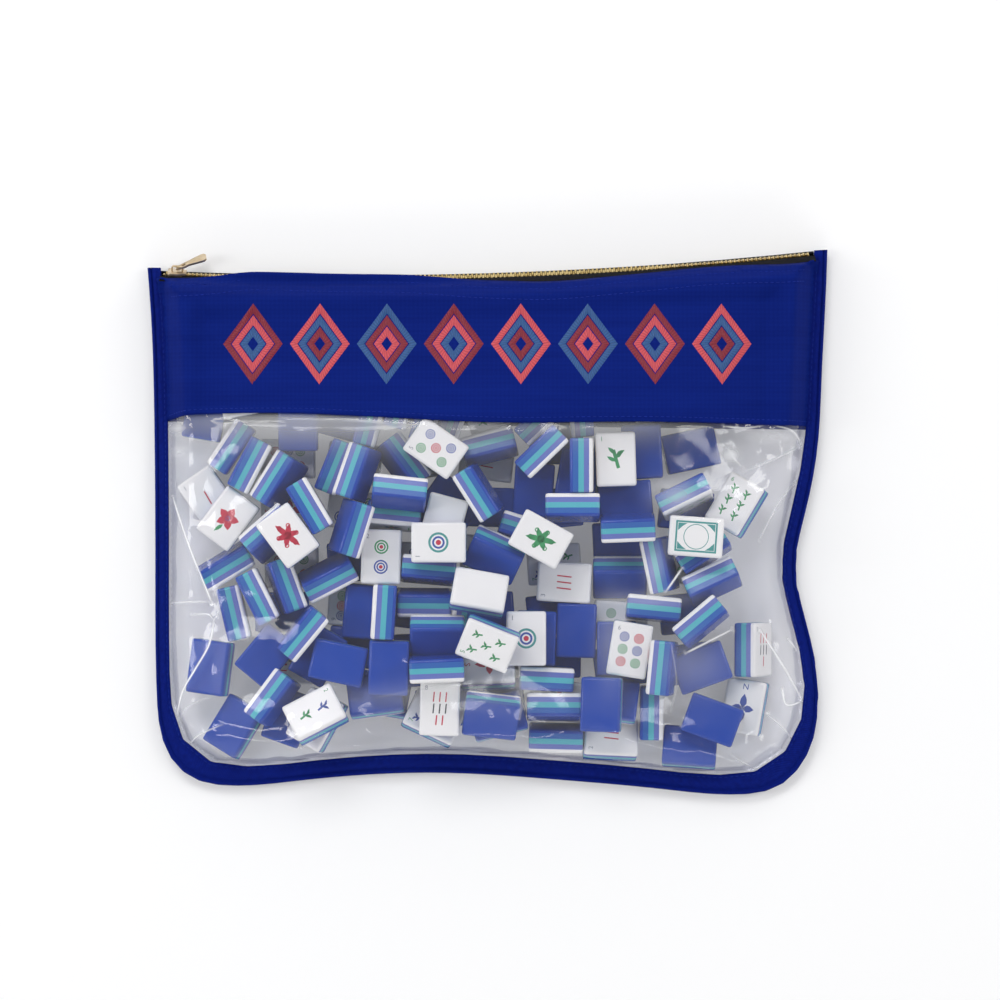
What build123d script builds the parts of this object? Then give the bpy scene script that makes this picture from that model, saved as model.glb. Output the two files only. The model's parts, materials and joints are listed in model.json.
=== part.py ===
from build123d import *
import math
import os
import random

import numpy as np

os.makedirs("parts", exist_ok=True)

# A zipped clear pouch with a heap of game tiles in it, lying on its back.
# Millimetres: X to the right, Y toward the mouth, Z up from the table.

# Bag outline
bag_width = 380.0
bag_height = 304.0
side_binding = 7.4
bottom_binding = 11.4
band_height = 78.0
seam_lap = 10.0
band_tilt = -0.75

# Cloth and film
seam_height = 6.0
film_thickness = 0.4
band_thickness = 0.6
binding_wall = 0.6
layer_gap = 0.05
pouch_gap = 1.3
outline_sides = 44
mouth_sides = 6
side_steps = 8

# Zip
chain_drop = 15.1
chain_radius = 2416.5
chain_center_x = -72.6
chain_height = 7.0
chain_lean = 70.0
chain_margin = 2.0
tooth_pitch = 2.4
tooth_length = 3.0
tooth_root = 1.3
tooth_head = 1.0
tooth_depth = 2.2
tooth_mesh = 0.7
tape_thickness = 0.5
mouth_gap = 4.6
lap_margin = 12.0

# Slider and puller
slider_at = 17.0 - bag_width / 2
slider_length = 10.4
shoulder_width = 10.0
tail_width = 7.4
plate_thickness = 0.85
channel_depth = 2.7
tape_slot = 1.1
flange_width = 0.75
wedge_width = 1.5
wedge_length = 3.6
crown_length = 6.8
crown_width = 2.0
crown_height = 3.3
crown_wall = 0.9
eye_bar = 1.2
puller_length = 17.5
puller_width = 5.6
puller_neck = 2.6
puller_thickness = 1.3
puller_rise = 21.0
running_gap = 0.3

# Game tile
tile_length = 30.0
tile_width = 22.0
tile_thickness = 13.0
face_chamfer = 0.7
back_chamfer = 1.1

# Heap
heap_gap = 0.15
touching = 0.02
film_clearance = 0.9
heap_height = 64.0
heap_bottom = 20.0
heap_step = 26.0
fall_step = 0.12
home_pull = 0.08
fall_rounds = 900
part_rounds = 3000
buried_pitch_x = 37.0
buried_pitch_y = 28.5
buried_columns = 7
buried_rows = 7
buried_center_y = -22.0
heap_seed = 7
side_share = 0.8
copies = 4

# Outer edge of the binding from the left end of the mouth round the bottom to the right end,
# as fractions of half the bag's width and height
rim_shape = [
    (-0.998, 0.933),
    (-0.983, 0.668),
    (-0.977, 0.373),
    (-0.974, -0.143),
    (-0.971, -0.622),
    (-0.956, -0.787),
    (-0.912, -0.894),
    (-0.847, -0.949),
    (-0.774, -0.966),
    (-0.553, -0.949),
    (-0.140, -0.920),
    (0.214, -0.946),
    (0.508, -0.979),
    (0.729, -1.000),
    (0.856, -0.968),
    (0.921, -0.891),
    (0.962, -0.769),
    (0.968, -0.622),
    (0.939, -0.419),
    (0.906, -0.253),
    (0.902, -0.161),
    (0.927, 0.005),
    (0.954, 0.152),
    (0.971, 0.299),
    (0.980, 0.520),
    (0.989, 0.741),
    (0.998, 0.999),
]

# How far the front can swell from its seam: share of the outline, share of the full rise
front_swell = [
    (1.0, 0.0),
    (0.977, 0.20),
    (0.94, 0.38),
    (0.88, 0.58),
    (0.78, 0.78),
    (0.63, 0.93),
    (0.40, 1.0),
]

# Net of the front: shares of the outline at which its rings stand, the first ones steep all round
net_rings = (1.0, 0.977, 0.94, 0.88, 0.80, 0.70, 0.58, 0.45, 0.31, 0.16)
steep_rings = 3
net_rounds = 500
net_tolerance = 0.05
tile_grain = 7

# How the back sinks to the table: share of the outline, share of the full drop
back_sink = [
    (1.0, 0.0),
    (0.982, 0.65),
    (0.95, 1.0),
]

# Tiles that show through the film, lowest first: place of the middle (x, y), turn of the long
# side, roll about it (0 face up, 180 back up, 90 on edge) and the design where it can be told
shown_tiles = [
    (-69, -50, 85, 180, ""),
    (70, 12, 5, 180, ""),
    (56, 26, 80, 180, ""),
    (-21, 12, -35, 180, ""),
    (21, 11, 86, 180, ""),
    (-56, -99, 5, 180, ""),
    (44, -60, 88, 180, ""),
    (119, -66, 20, 180, ""),
    (33, -66, 88, 180, ""),
    (61, -69, 90, 180, ""),
    (-121, -66, 50, 180, ""),
    (-104, -75, 60, 180, ""),
    (-146, 54, 80, 180, ""),
    (-106, 47, 90, 180, ""),
    (-84, 49, -15, 180, ""),
    (87, 35, 93, 180, ""),
    (112, 40, 12, 180, ""),
    (-122, -112, 70, 180, ""),
    (-70, -120, -10, 165, ""),
    (-20, -121, 15, 172, ""),
    (2, -121, 0, 100, ""),
    (-90, -121, -25, -15, "bamboo_7"),
    (-141, -112, 59, 165, ""),
    (-144, -84, 82, 165, ""),
    (111, -121, -5, 165, ""),
    (69, -121, -2, -20, "character_2"),
    (67, -100, -8, 165, ""),
    (-48, -112, 88, 0, "character_8"),
    (-32, -102, 2, -25, "wind_south"),
    (-151, 24, -55, 0, "character_1"),
    (-137, 4, 53, 0, "flower"),
    (-126, 54, 10, 0, "dot_8"),
    (4, 50, 20, 0, "bamboo_9"),
    (66, 61, 5, 0, "dot_2"),
    (95, 62, 2, 90, ""),
    (-134, 37, 58, -90, ""),
    (-124, 24, 61, 90, ""),
    (-69, 46, 73, 90, ""),
    (-53, 52, 72, 90, ""),
    (-42, 47, 72, 90, ""),
    (-31, 39, 72, 90, ""),
    (-78, 24, 70, 90, ""),
    (-65, 19, 71, -110, ""),
    (-51, 33, -54, -110, ""),
    (-88, 12, -61, -90, ""),
    (-112, 16, 60, -115, ""),
    (-96, 0, -53, 0, "dragon_red"),
    (-76, -2, 75, 110, ""),
    (-84, -24, 29, 110, ""),
    (-121, -13, 40, -115, ""),
    (-137, -27, 31, 100, ""),
    (-105, -28, -68, -100, ""),
    (-112, -41, -65, -90, ""),
    (-129, -44, -76, -90, ""),
    (-56, -26, 88, 0, "dot_2"),
    (-52, 9, -9, -110, ""),
    (-56, -6, -6, 80, ""),
    (-37, 7, 75, 0, "blank"),
    (-1, 7, -55, 100, ""),
    (8, 35, 13, -105, ""),
    (28, 51, 42, 90, ""),
    (32, 37, 42, 90, ""),
    (42, 23, 88, 90, ""),
    (50, 48, -83, 90, ""),
    (47, -24, -3, 0, "character_3"),
    (69, 34, 92, 0, "bamboo_1"),
    (110, 13, 28, 80, ""),
    (123, -21, 30, -100, ""),
    (129, -34, 24, -110, ""),
    (81, -22, -79, 105, ""),
    (65, -27, 0, -135, ""),
    (65, -5, 0, 100, ""),
    (45, -5, 3, -100, ""),
    (11, -11, -20, -110, ""),
    (0, -23, -25, -140, ""),
    (-36, -27, -5, -100, ""),
    (-35, -44, 2, 100, ""),
    (-20, -43, 85, -90, ""),
    (-121, -93, 51, -105, ""),
    (-112, -116, 61, -15, "dot_7"),
    (-98, -96, 28, -20, "bamboo_2"),
    (-83, -79, -12, 180, ""),
    (-76, -102, 8, 165, ""),
    (-56, -82, 88, 180, ""),
    (-91, -53, 51, 95, ""),
    (-52, -54, 88, -90, ""),
    (-35, -66, 0, -140, ""),
    (-35, -91, 0, 95, ""),
    (-7, -105, -8, -150, ""),
    (23, -93, -2, -90, ""),
    (23, -110, 0, -100, ""),
    (45, -100, 88, 172, ""),
    (101, -75, 82, -100, ""),
    (88, -106, 89, 90, ""),
    (102, -47, -8, -95, ""),
    (135, -51, 40, -100, ""),
    (136, -71, 90, 60, "character_7"),
    (143, -102, 80, -12, "wind_north"),
    (120, -103, -20, 180, ""),
    (-9, -82, -22, 15, "bamboo_5"),
    (-5, -40, -10, -20, "blank"),
    (-17, 33, -35, 0, "dot_5"),
    (-23, -11, 0, 0, "dot_1"),
    (18, -69, 90, 0, "dot_1"),
    (25, -17, -29, 0, "dragon_green"),
    (83, -70, 81, 0, "dot_6"),
    (106, -14, -4, 0, "dragon_white"),
    (134, 5, 59, -20, "bamboo_6"),
]

# Zip arc: every piece of the zip is concentric with one upright axis far beyond the mouth
chain_center = Vector(chain_center_x, bag_height / 2 - chain_drop + chain_radius - 1.2)
lean = math.radians(chain_lean)
pole = Vector(0, -0.24 * bag_height)


def zip_angle(x, radius=chain_radius):
    """Angle about the far axis of the point of the zip that lies at x."""
    return math.asin((x - chain_center.X) / radius)


def zip_plane(x):
    """Plane of the zip at x: its x runs along the chain and its z out of the bag."""
    angle = zip_angle(x)
    outward = Vector(math.sin(angle), -math.cos(angle))
    along = Vector(math.cos(angle), math.sin(angle))
    origin = chain_center + outward * chain_radius + Vector(0, 0, chain_height)
    normal = outward * -math.sin(lean) + Vector(0, 0, math.cos(lean))
    return Plane(origin=origin, x_dir=along, z_dir=normal)


def rim_points(side=0.0, bottom=0.0):
    """Points of the bag's edge, drawn in by the binding's width at the sides and the bottom."""
    half_x = bag_width / 2
    half_y = bag_height / 2
    mouth_y = rim_shape[0][1] * half_y
    points = []
    for across, up in rim_shape:
        x = across * (half_x - side)
        y = mouth_y + (up * half_y - mouth_y) * (1 - bottom / bag_height)
        points.append((x, y))
    return points


def mouth_point(x, gap=0.0):
    """Point at x on the arc that lies gap inside the middle of the chain."""
    radius = chain_radius + gap
    angle = zip_angle(x, radius)
    return (x, chain_center.Y - radius * math.cos(angle))


def pouch_outline():
    """Corners of the pouch's outline: points along its sides and bottom, then along its mouth."""
    points = rim_points(side_binding + pouch_gap, bottom_binding + pouch_gap)
    points[0] = mouth_point(points[0][0])
    points[-1] = mouth_point(points[-1][0])
    sides = Edge.make_spline([Vector(*point) for point in points])
    corners = [sides @ (i / outline_sides) for i in range(outline_sides + 1)]
    span = corners[-1].X - corners[0].X
    across = [corners[-1].X - span * i / mouth_sides for i in range(1, mouth_sides)]
    return corners + [Vector(*mouth_point(x)) for x in across]


outline_corners = pouch_outline()


def pouch_section(share, height):
    """Face of the pouch's outline at a height, shrunk about the pole to a share of its size."""
    with BuildSketch(Plane.XY.offset(height)) as section:
        with BuildLine():
            Polyline(*[pole + (corner - pole) * share for corner in outline_corners], close=True)
        make_face()
    return section.sketch


# Radius of the pouch's outline about the pole, by direction
outline_polar = []
for corner, following in zip(outline_corners, outline_corners[1:] + outline_corners[:1]):
    for step in range(side_steps):
        point = corner + (following - corner) * (step / side_steps) - pole
        outline_polar.append((math.atan2(point.Y, point.X), math.hypot(point.X, point.Y)))
outline_polar.sort()
outline_angles = [angle for angle, radius in outline_polar]
outline_radii = [radius for angle, radius in outline_polar]


def back_height(share, thickness):
    """Height of the outer face of the back at a share of the outline."""
    shares = [step[0] for step in reversed(back_sink)]
    drops = [step[1] for step in reversed(back_sink)]
    return (seam_height - layer_gap - thickness) * (1 - float(np.interp(share, shares, drops)))


# The heap: the tiles sink together from their places in the photograph and push each other apart
half_sizes = np.array([tile_length, tile_width, tile_thickness]) / 2
corner_signs = [(a, b, c) for a in (-1, 1) for b in (-1, 1) for c in (-1, 1)]
swell_shares, swell_rises = (np.array(column) for column in zip(*reversed(front_swell)))
sink_shares = [step[0] for step in reversed(back_sink)]
sink_floors = [back_height(share, film_thickness) + film_thickness + running_gap for share in sink_shares]


def tile_axes(turn, roll, pitch=0.0):
    """Directions of a tile's length, width and face."""
    turn, roll, pitch = (math.radians(angle) for angle in (turn, roll, pitch))
    up = np.array([0.0, 0.0, 1.0])
    along = np.array([math.cos(turn), math.sin(turn), 0.0])
    beside = np.array([-math.sin(turn), math.cos(turn), 0.0])
    wide = beside * math.cos(roll) + up * math.sin(roll)
    face = up * math.cos(roll) - beside * math.sin(roll)
    tipped = along * math.cos(pitch) + face * math.sin(pitch)
    return np.array([tipped, wide, face * math.cos(pitch) - along * math.sin(pitch)])


def tile_corners(axes):
    """Corners of a tile about its middle."""
    return [half_sizes * signs @ axes for signs in corner_signs]


def pair_axes(axes):
    """For every pair of tiles, the directions that can part them and their reach along each."""
    first, second = np.triu_indices(len(axes), 1)
    crossed = np.cross(axes[first][:, :, None, :], axes[second][:, None, :, :]).reshape(len(first), 9, 3)
    directions = np.concatenate([axes[first], axes[second], crossed], axis=1)
    sizes = np.linalg.norm(directions, axis=2, keepdims=True)
    directions = directions / np.maximum(sizes, 0.001)
    reach = np.abs(np.einsum("pkd,pad->pka", directions, axes[first])) @ half_sizes
    reach += np.abs(np.einsum("pkd,pad->pka", directions, axes[second])) @ half_sizes
    reach[sizes[:, :, 0] < 0.001] = math.inf
    return first, second, directions, reach + heap_gap


def part_tiles(places, pairs, eagerness):
    """Push apart the tiles that overlap, each pair along its shortest way, and give the worst overlap."""
    first, second, directions, reach = pairs
    offsets = places[second] - places[first]
    near = np.flatnonzero(np.linalg.norm(offsets, axis=1) < 2 * np.linalg.norm(half_sizes))
    along = np.einsum("pkd,pd->pk", directions[near], offsets[near])
    depths = reach[near] - np.abs(along)
    shortest = np.argmin(depths, axis=1)
    rows = np.arange(len(near))
    depth = depths[rows, shortest]
    overlapping = depth > 0
    rows, shortest = rows[overlapping], shortest[overlapping]
    push = directions[near][rows, shortest] * np.sign(along[rows, shortest])[:, None]
    push *= (depth[overlapping] * eagerness / 2)[:, None]
    np.add.at(places, second[near][overlapping], push)
    np.add.at(places, first[near][overlapping], -push)
    return float(depth[overlapping].max(initial=0.0))


def shares_of(points):
    """Share of the pouch's outline on which each point lies, 1 on the outline itself."""
    across = points[..., 0] - pole.X
    up = points[..., 1] - pole.Y
    edge_radius = np.interp(np.arctan2(up, across), outline_angles, outline_radii, period=2 * math.pi)
    return np.hypot(across, up) / edge_radius


def hold_in_pouch(places, corners, rise, press):
    """Lift tiles off the back, and press and draw in those that reach through the front."""
    points = places[:, None, :] + corners
    share = shares_of(points)
    floor = np.interp(share, sink_shares, sink_floors)
    roof = seam_height - film_clearance + rise * np.interp(share, swell_shares, swell_rises)
    low = np.maximum(floor - points[:, :, 2], 0).max(axis=1)
    high = np.maximum(points[:, :, 2] - roof, 0).max(axis=1)
    squeezed = np.minimum(high, 1.0)
    places[:, 2] += low - press * squeezed
    inward = np.array([pole.X, pole.Y]) - places[:, :2]
    inward /= np.linalg.norm(inward, axis=1)[:, None]
    at_the_side = share.max(axis=1) > side_share
    places[:, :2] += inward * (0.5 * squeezed * at_the_side)[:, None]
    return low.max(), high.max()


def free_fall(tile, places, corners, pairs):
    """How far a tile can sink straight down before it meets another or the back."""
    first, second, directions, reach = pairs
    rows = np.flatnonzero((first == tile) | (second == tile))
    others = np.where(first[rows] == tile, second[rows], first[rows])
    along = np.einsum("pkd,pd->pk", directions[rows], places[tile] - places[others])
    slope = directions[rows][:, :, 2]
    slope = np.where(np.abs(slope) < 1e-6, 1e-6, slope)
    meets = (along - (reach[rows] - touching) * np.sign(slope)) / slope
    parts = (along + (reach[rows] - touching) * np.sign(slope)) / slope
    meets, parts = meets.max(axis=1), parts.min(axis=1)
    falls = meets[(meets < parts) & (parts > 0)]
    points = places[tile] + corners[tile]
    floor = np.interp(shares_of(points), sink_shares, sink_floors)
    return max(0.0, min(float(falls.min(initial=math.inf)), float((points[:, 2] - floor).min())))


designs = [f"{suit}_{rank}" for suit in ("dot", "bamboo", "character") for rank in range(1, 10)]
designs += ["wind_east", "wind_south", "wind_west", "wind_north"]
designs += ["dragon_red", "dragon_green", "dragon_white", "flower", "season", "blank"]
pool = [design for design in designs for copy in range(copies)]
for x, y, turn, roll, design in shown_tiles:
    if design:
        pool.remove(design)
dealer = random.Random(heap_seed)
dealer.shuffle(pool)

# Buried tiles lie flat under the middle of the heap
buried_count = len(designs) * copies - len(shown_tiles)
columns = [(i - (buried_columns - 1) / 2) * buried_pitch_x for i in range(buried_columns)]
rows = [(j - (buried_rows - 1) / 2) * buried_pitch_y for j in range(buried_rows)]
buried_places = [(x, buried_center_y + y) for x in columns for y in rows]
buried_places.sort(key=lambda place: math.hypot(place[0] / 1.4, place[1] - buried_center_y))
places, turns, dealt = [], [], []
for x, y in buried_places[:buried_count]:
    places.append((x, y, tile_thickness * 0.6))
    turns.append(tile_axes(dealer.uniform(-8, 8), dealer.choice((0, 180))))
    dealt.append(pool.pop())
for order, (x, y, turn, roll, design) in enumerate(shown_tiles):
    places.append((x, y, heap_bottom + heap_step * order / len(shown_tiles)))
    turns.append(tile_axes(turn, roll, dealer.uniform(-3, 3)))
    dealt.append(design or pool.pop())

places = np.array(places)
turns = np.array(turns)
home = places[:, :2].copy()
corners = np.array([tile_corners(axes) for axes in turns])
pairs = pair_axes(turns)
for fall in range(fall_rounds):
    places[:, 2] -= fall_step
    places[:, :2] += home_pull * (1 - fall / fall_rounds) * (home - places[:, :2])
    part_tiles(places, pairs, 0.7)
    part_tiles(places, pairs, 0.7)
    hold_in_pouch(places, corners, heap_height - 2 * seam_height, 1.0)
for round_left in range(part_rounds):
    overlap = part_tiles(places, pairs, 1.0)
    low, high = hold_in_pouch(places, corners, heap_height - seam_height, 0.0)
    if overlap < touching / 2 and low < touching / 2:
        break
for tile in np.argsort(places[:, 2]):
    places[tile, 2] -= free_fall(tile, places, corners, pairs)

# The front film rises just enough to clear the heap
points = places[:, None, :] + corners
swell = np.maximum(np.interp(shares_of(points), swell_shares, swell_rises), 0.05)
swell_rise = float(((points[:, :, 2] + film_clearance - seam_height) / swell).max())


def swell_at(share):
    """Most that the front can rise over its seam at a share of the outline."""
    return swell_rise * float(np.interp(share, swell_shares, swell_rises))


# The front hangs from the heap: a net of rings and rays, pulled taut over the tiles
steps = np.linspace(-1, 1, tile_grain)
grain = half_sizes * [(a, b, c) for a in steps for b in steps for c in (-1, 0, 1)]
heap_points = np.concatenate([place + grain @ axes for place, axes in zip(places, turns)])
ray_ends = np.array([(corner.X - pole.X, corner.Y - pole.Y) for corner in outline_corners])


def net_hold():
    """For every point of the heap the four knots of the net around it, their shares of it, and its rise."""
    middle = np.array([pole.X, pole.Y])
    start = math.atan2(ray_ends[0][1], ray_ends[0][0])
    ray_turns = (np.arctan2(ray_ends[:, 1], ray_ends[:, 0]) - start) % (2 * math.pi)
    across = heap_points[:, :2] - middle
    turned = (np.arctan2(across[:, 1], across[:, 0]) - start) % (2 * math.pi)
    ray = np.searchsorted(ray_turns, turned, side="right") - 1
    following = (ray + 1) % len(ray_ends)
    before = ray_ends[ray][:, 0] * across[:, 1] - ray_ends[ray][:, 1] * across[:, 0]
    beyond = across[:, 0] * ray_ends[following][:, 1] - across[:, 1] * ray_ends[following][:, 0]
    aside = before / (before + beyond)
    share = shares_of(heap_points)
    levels = np.array(net_rings + (0.0,))
    ring = np.clip(np.searchsorted(-levels, -share) - 1, 0, len(net_rings) - 1)
    inward = (levels[ring] - share) / (levels[ring] - levels[ring + 1])
    rings = np.stack([ring, ring, ring + 1, ring + 1])
    rays = np.stack([ray, following, ray, following])
    shares = np.stack([
        (1 - inward) * (1 - aside), (1 - inward) * aside, inward * (1 - aside), inward * aside,
    ])
    return rings, rays, shares, heap_points[:, 2] + film_clearance - seam_height


def net_rises():
    """Rise of every knot over the seam, ring by ring, with the crest as the last ring."""
    rings, rays, shares, needed = net_hold()
    levels = net_rings + (0.0,)
    knots = np.array([ray_ends * share for share in levels])
    limit = np.array([[swell_at(share)] * len(ray_ends) for share in levels])
    # every knot is pulled by its four neighbours, the nearer the harder
    along_ray = 1 / np.linalg.norm(knots[1:] - knots[:-1], axis=2)
    along_ring = 1 / np.maximum(np.linalg.norm(np.roll(knots, 1, axis=1) - knots, axis=2), 1.0)
    free = slice(steep_rings, -1)
    to_rim = along_ray[steep_rings - 1 : -1]
    to_crest = along_ray[steep_rings:]
    to_last = along_ring[free]
    to_next = np.roll(to_last, -1, axis=1)
    pulls = to_rim + to_crest + to_last + to_next
    net = limit.copy()
    for settling in range(2 * net_rounds):
        if settling < net_rounds:
            pulled = to_rim * net[steep_rings - 1 : -2] + to_crest * net[steep_rings + 1 :]
            pulled += to_last * np.roll(net[free], 1, axis=1)
            pulled += to_next * np.roll(net[free], -1, axis=1)
            net[free] = np.minimum(pulled / pulls, limit[free])
            net[-1] = net[-2].mean()
        missing = needed - (net[rings, rays] * shares).sum(axis=0)
        if settling >= net_rounds and missing.max() < net_tolerance:
            break
        short = np.flatnonzero(missing > 0)
        raised = shares[:, short] * missing[short] / (shares[:, short] ** 2).sum(axis=0)
        lift = np.zeros_like(net)
        np.maximum.at(lift, (rings[:, short], rays[:, short]), raised)
        lift[:steep_rings] = 0
        lift[-1] = lift[-1].max()
        net += lift
    return net


front_rises = net_rises()


def write(piece, name):
    """Label a finished piece and write it to its own file."""
    piece.part.label = name
    export_step(piece.part, f"parts/{name}.step")


# Binding: a tape folded over the rims of both sides, open toward the pouch
film_top = layer_gap + film_thickness
band_bottom = film_top + layer_gap
slot_low = seam_height - 2 * layer_gap - band_thickness
slot_high = seam_height + band_bottom + band_thickness + layer_gap
binding_low = slot_low - binding_wall
binding_height = slot_high - slot_low + 2 * binding_wall
fold = binding_wall + 0.4


def rim_line(side_in, bottom_in, sides):
    """Corners of a line drawn in from the bag's edge, from the left end of the mouth to the right."""
    line = Edge.make_spline([Vector(*point) for point in rim_points(side_in, bottom_in)])
    return [line @ (i / sides) for i in range(sides + 1)]


def rim_band(outset, side_inset, bottom_inset, height):
    """Face between a line near the bag's edge and one further in."""
    outer = rim_line(outset, outset, 2 * outline_sides)
    inner = rim_line(side_inset, bottom_inset, outline_sides)
    with BuildSketch(Plane.XY.offset(height)) as band:
        with BuildLine():
            Polyline(*outer, *reversed(inner), close=True)
        make_face()
    return band.sketch


with BuildPart() as edge_binding:
    extrude(rim_band(0, side_binding, bottom_binding, binding_low), amount=binding_height)
    slot = rim_band(fold, side_binding + fold, bottom_binding + fold, slot_low)
    extrude(slot, amount=slot_high - slot_low, mode=Mode.SUBTRACT)
write(edge_binding, "edge_binding")


# Regions of the front and the back: the band above a straight line, the film below it
line_rise = math.tan(math.radians(band_tilt))
line_middle = mouth_point(0, mouth_gap)[1] - band_height
wide = bag_width / 2 + side_binding


def band_region(lap=0.0):
    """Upright prism over the band, from its lower edge to the mouth."""
    low = line_middle - lap
    with BuildPart() as region:
        with BuildSketch():
            with BuildLine():
                ThreePointArc(mouth_point(-wide, mouth_gap), mouth_point(0, mouth_gap), mouth_point(wide, mouth_gap))
                Line(mouth_point(wide, mouth_gap), (wide, low + wide * line_rise))
                Line((wide, low + wide * line_rise), (-wide, low - wide * line_rise))
                Line((-wide, low - wide * line_rise), mouth_point(-wide, mouth_gap))
            make_face()
        extrude(amount=2 * heap_height, both=True)
    return region.part


def film_region(lap):
    """Upright prism over the film, up to the band's lower edge and a lap beyond it."""
    high = line_middle + lap
    with BuildPart() as region:
        with BuildSketch():
            with BuildLine():
                Polyline(
                    (-wide, high - wide * line_rise),
                    (wide, high + wide * line_rise),
                    (wide, -bag_height),
                    (-wide, -bag_height),
                    close=True,
                )
            make_face()
        extrude(amount=2 * heap_height, both=True)
    return region.part


def front_knots(layer):
    """Knots of the front's net, a layer's height over the seam, ring by ring."""
    spread = 1 + layer / (bag_width / 2)
    seam = seam_height + layer
    return [
        [
            pole + (corner - pole) * (share * spread) + Vector(0, 0, seam + float(rise))
            for corner, rise in zip(outline_corners, rises)
        ]
        for share, rises in zip(net_rings + (0.0,), front_rises)
    ]


def facet(*corners):
    """Flat face between corners."""
    return Face(Wire.make_polygon(corners, close=True))


def front_solid(layer):
    """Everything under the front, out to a layer's height over the seam."""
    knots = front_knots(layer)
    faces = [facet(*knots[0])]
    for lower, upper in zip(knots[:-2], knots[1:-1]):
        for i in range(len(lower)):
            a, b, c, d = lower[i - 1], lower[i], upper[i], upper[i - 1]
            if a.Z + c.Z < b.Z + d.Z:
                a, b, c, d = b, c, d, a
            faces += [facet(a, b, c), facet(a, c, d)]
    for i in range(len(knots[-2])):
        faces.append(facet(knots[-2][i - 1], knots[-2][i], knots[-1][0]))
    with BuildPart() as solid:
        add(Solid(Shell(faces)))
    return solid.part


def back_solid(lift, thickness):
    """Everything over the back, from a lift above its outer face up to the seam."""
    shrink = 1 - lift / (bag_width / 2)
    top = seam_height - layer_gap - thickness
    sections = [pouch_section(share * shrink, top * (1 - drop) + lift) for share, drop in back_sink]
    with BuildPart() as solid:
        loft(sections, ruled=True)
    return solid.part


def flange(low, thickness):
    """Flat rim of a layer that runs into the binding."""
    with BuildPart() as rim:
        with BuildSketch(Plane.XY.offset(low)):
            with BuildLine():
                Polyline(*rim_line(2 * fold, 2 * fold, outline_sides), close=True)
            make_face()
        extrude(amount=thickness)
    return rim.part


def front_skin(inner, outer, region):
    """Front layer between two heights over the seam, with its rim, cut to a region."""
    with BuildPart() as skin:
        add(flange(seam_height + inner, outer - inner))
        add(front_solid(outer))
        add(front_solid(inner), mode=Mode.SUBTRACT)
        opening = pouch_section(1 + inner / (bag_width / 2), seam_height - 1)
        extrude(opening, amount=1 + inner, mode=Mode.SUBTRACT)
        add(region, mode=Mode.INTERSECT)
    return skin


def back_skin(thickness, region):
    """Back layer with its rim, cut to a region."""
    top = seam_height - layer_gap
    with BuildPart() as skin:
        add(flange(top - thickness, thickness))
        add(back_solid(0, thickness))
        add(back_solid(thickness, thickness), mode=Mode.SUBTRACT)
        opening = pouch_section(1 - thickness / (bag_width / 2), top)
        extrude(opening, amount=1, mode=Mode.SUBTRACT)
        add(region, mode=Mode.INTERSECT)
    return skin


write(front_skin(layer_gap, film_top, film_region(seam_lap)), "front_vinyl_panel")
write(front_skin(band_bottom, band_bottom + band_thickness, band_region()), "front_band")
write(back_skin(film_thickness, film_region(-layer_gap)), "back_vinyl_panel")
write(back_skin(band_thickness, band_region()), "back_band")


# Zip pieces that keep one section along the whole arc
def lean_point(across, out=0.0):
    """Point of the zip's cross-section: across from the chain's middle toward the front, and out."""
    gap = across * math.cos(lean) - out * math.sin(lean)
    return (chain_radius + gap, chain_height + across * math.sin(lean) + out * math.cos(lean))


def under_front(gap):
    """Point of the cross-section just under the front band, at a gap inside the chain."""
    share = 1 - gap / (mouth_point(0)[1] - pole.Y)
    rise = seam_height + band_bottom + swell_at(share)
    return (chain_radius + gap, rise - running_gap - tape_thickness / 2)


def over_back(gap):
    """Point of the cross-section just over the back band, at a gap inside the chain."""
    share = 1 - gap / (mouth_point(0)[1] - pole.Y)
    rise = back_height(share, band_thickness) + band_thickness
    return (chain_radius + gap, rise + running_gap + tape_thickness / 2)


def along_zip(left, right, section):
    """Solid swept about the zip's far axis between two places along it."""
    start = zip_angle(left)
    outward = Vector(math.sin(start), -math.cos(start))
    tangent = Vector(math.cos(start), math.sin(start))
    with BuildPart() as swept:
        with BuildSketch(Plane(origin=chain_center, x_dir=outward, z_dir=-tangent)):
            with BuildLine():
                section()
            make_face()
        revolve(axis=Axis(chain_center, (0, 0, 1)), revolution_arc=math.degrees(zip_angle(right) - start))
    return swept.part


def strip(points):
    """Closed outline of a tape whose middle runs through the points."""
    line = Polyline(*points)
    offset(line, amount=tape_thickness / 2, side=Side.BOTH, mode=Mode.REPLACE)


tooth_reach = tooth_length - tooth_mesh
spread = wedge_width / 2 + tooth_mesh + 0.2
chain_left = mouth_point(-bag_width / 2 + side_binding)[0] + chain_margin
chain_right = -chain_left
tape_left = chain_left - chain_margin + running_gap
tape_right = -tape_left
notch_right = slider_at + 2.8
straight = shoulder_width / 2 + 0.6
root = tooth_reach + layer_gap + tape_thickness / 2
front_path = [lean_point(root), lean_point(straight), under_front(mouth_gap - 0.6)]
front_lap = [under_front(mouth_gap - 0.6), under_front(9.5)]
back_path = [lean_point(-root), lean_point(-straight), (chain_radius + 2.2, 0.8)]
back_lap = [(chain_radius + 2.2, 0.8), over_back(mouth_gap), over_back(9.0)]
for name, path, lap, side in (
    ("zip_tape_front", front_path, front_lap, 1),
    ("zip_tape_back", back_path, back_lap, -1),
):
    near = tooth_reach * side
    far = (tooth_reach + spread + 2 * layer_gap) * side
    notch = [lean_point(near, -1), lean_point(far, -1), lean_point(far, 1), lean_point(near, 1)]
    with BuildPart() as tape:
        add(along_zip(tape_left, tape_right, lambda: strip(path)))
        add(along_zip(tape_left + lap_margin, tape_right - lap_margin, lambda: strip(lap)))
        add(along_zip(tape_left - 1, notch_right, lambda: Polyline(*notch, close=True)), mode=Mode.SUBTRACT)
    write(tape, name)


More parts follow.
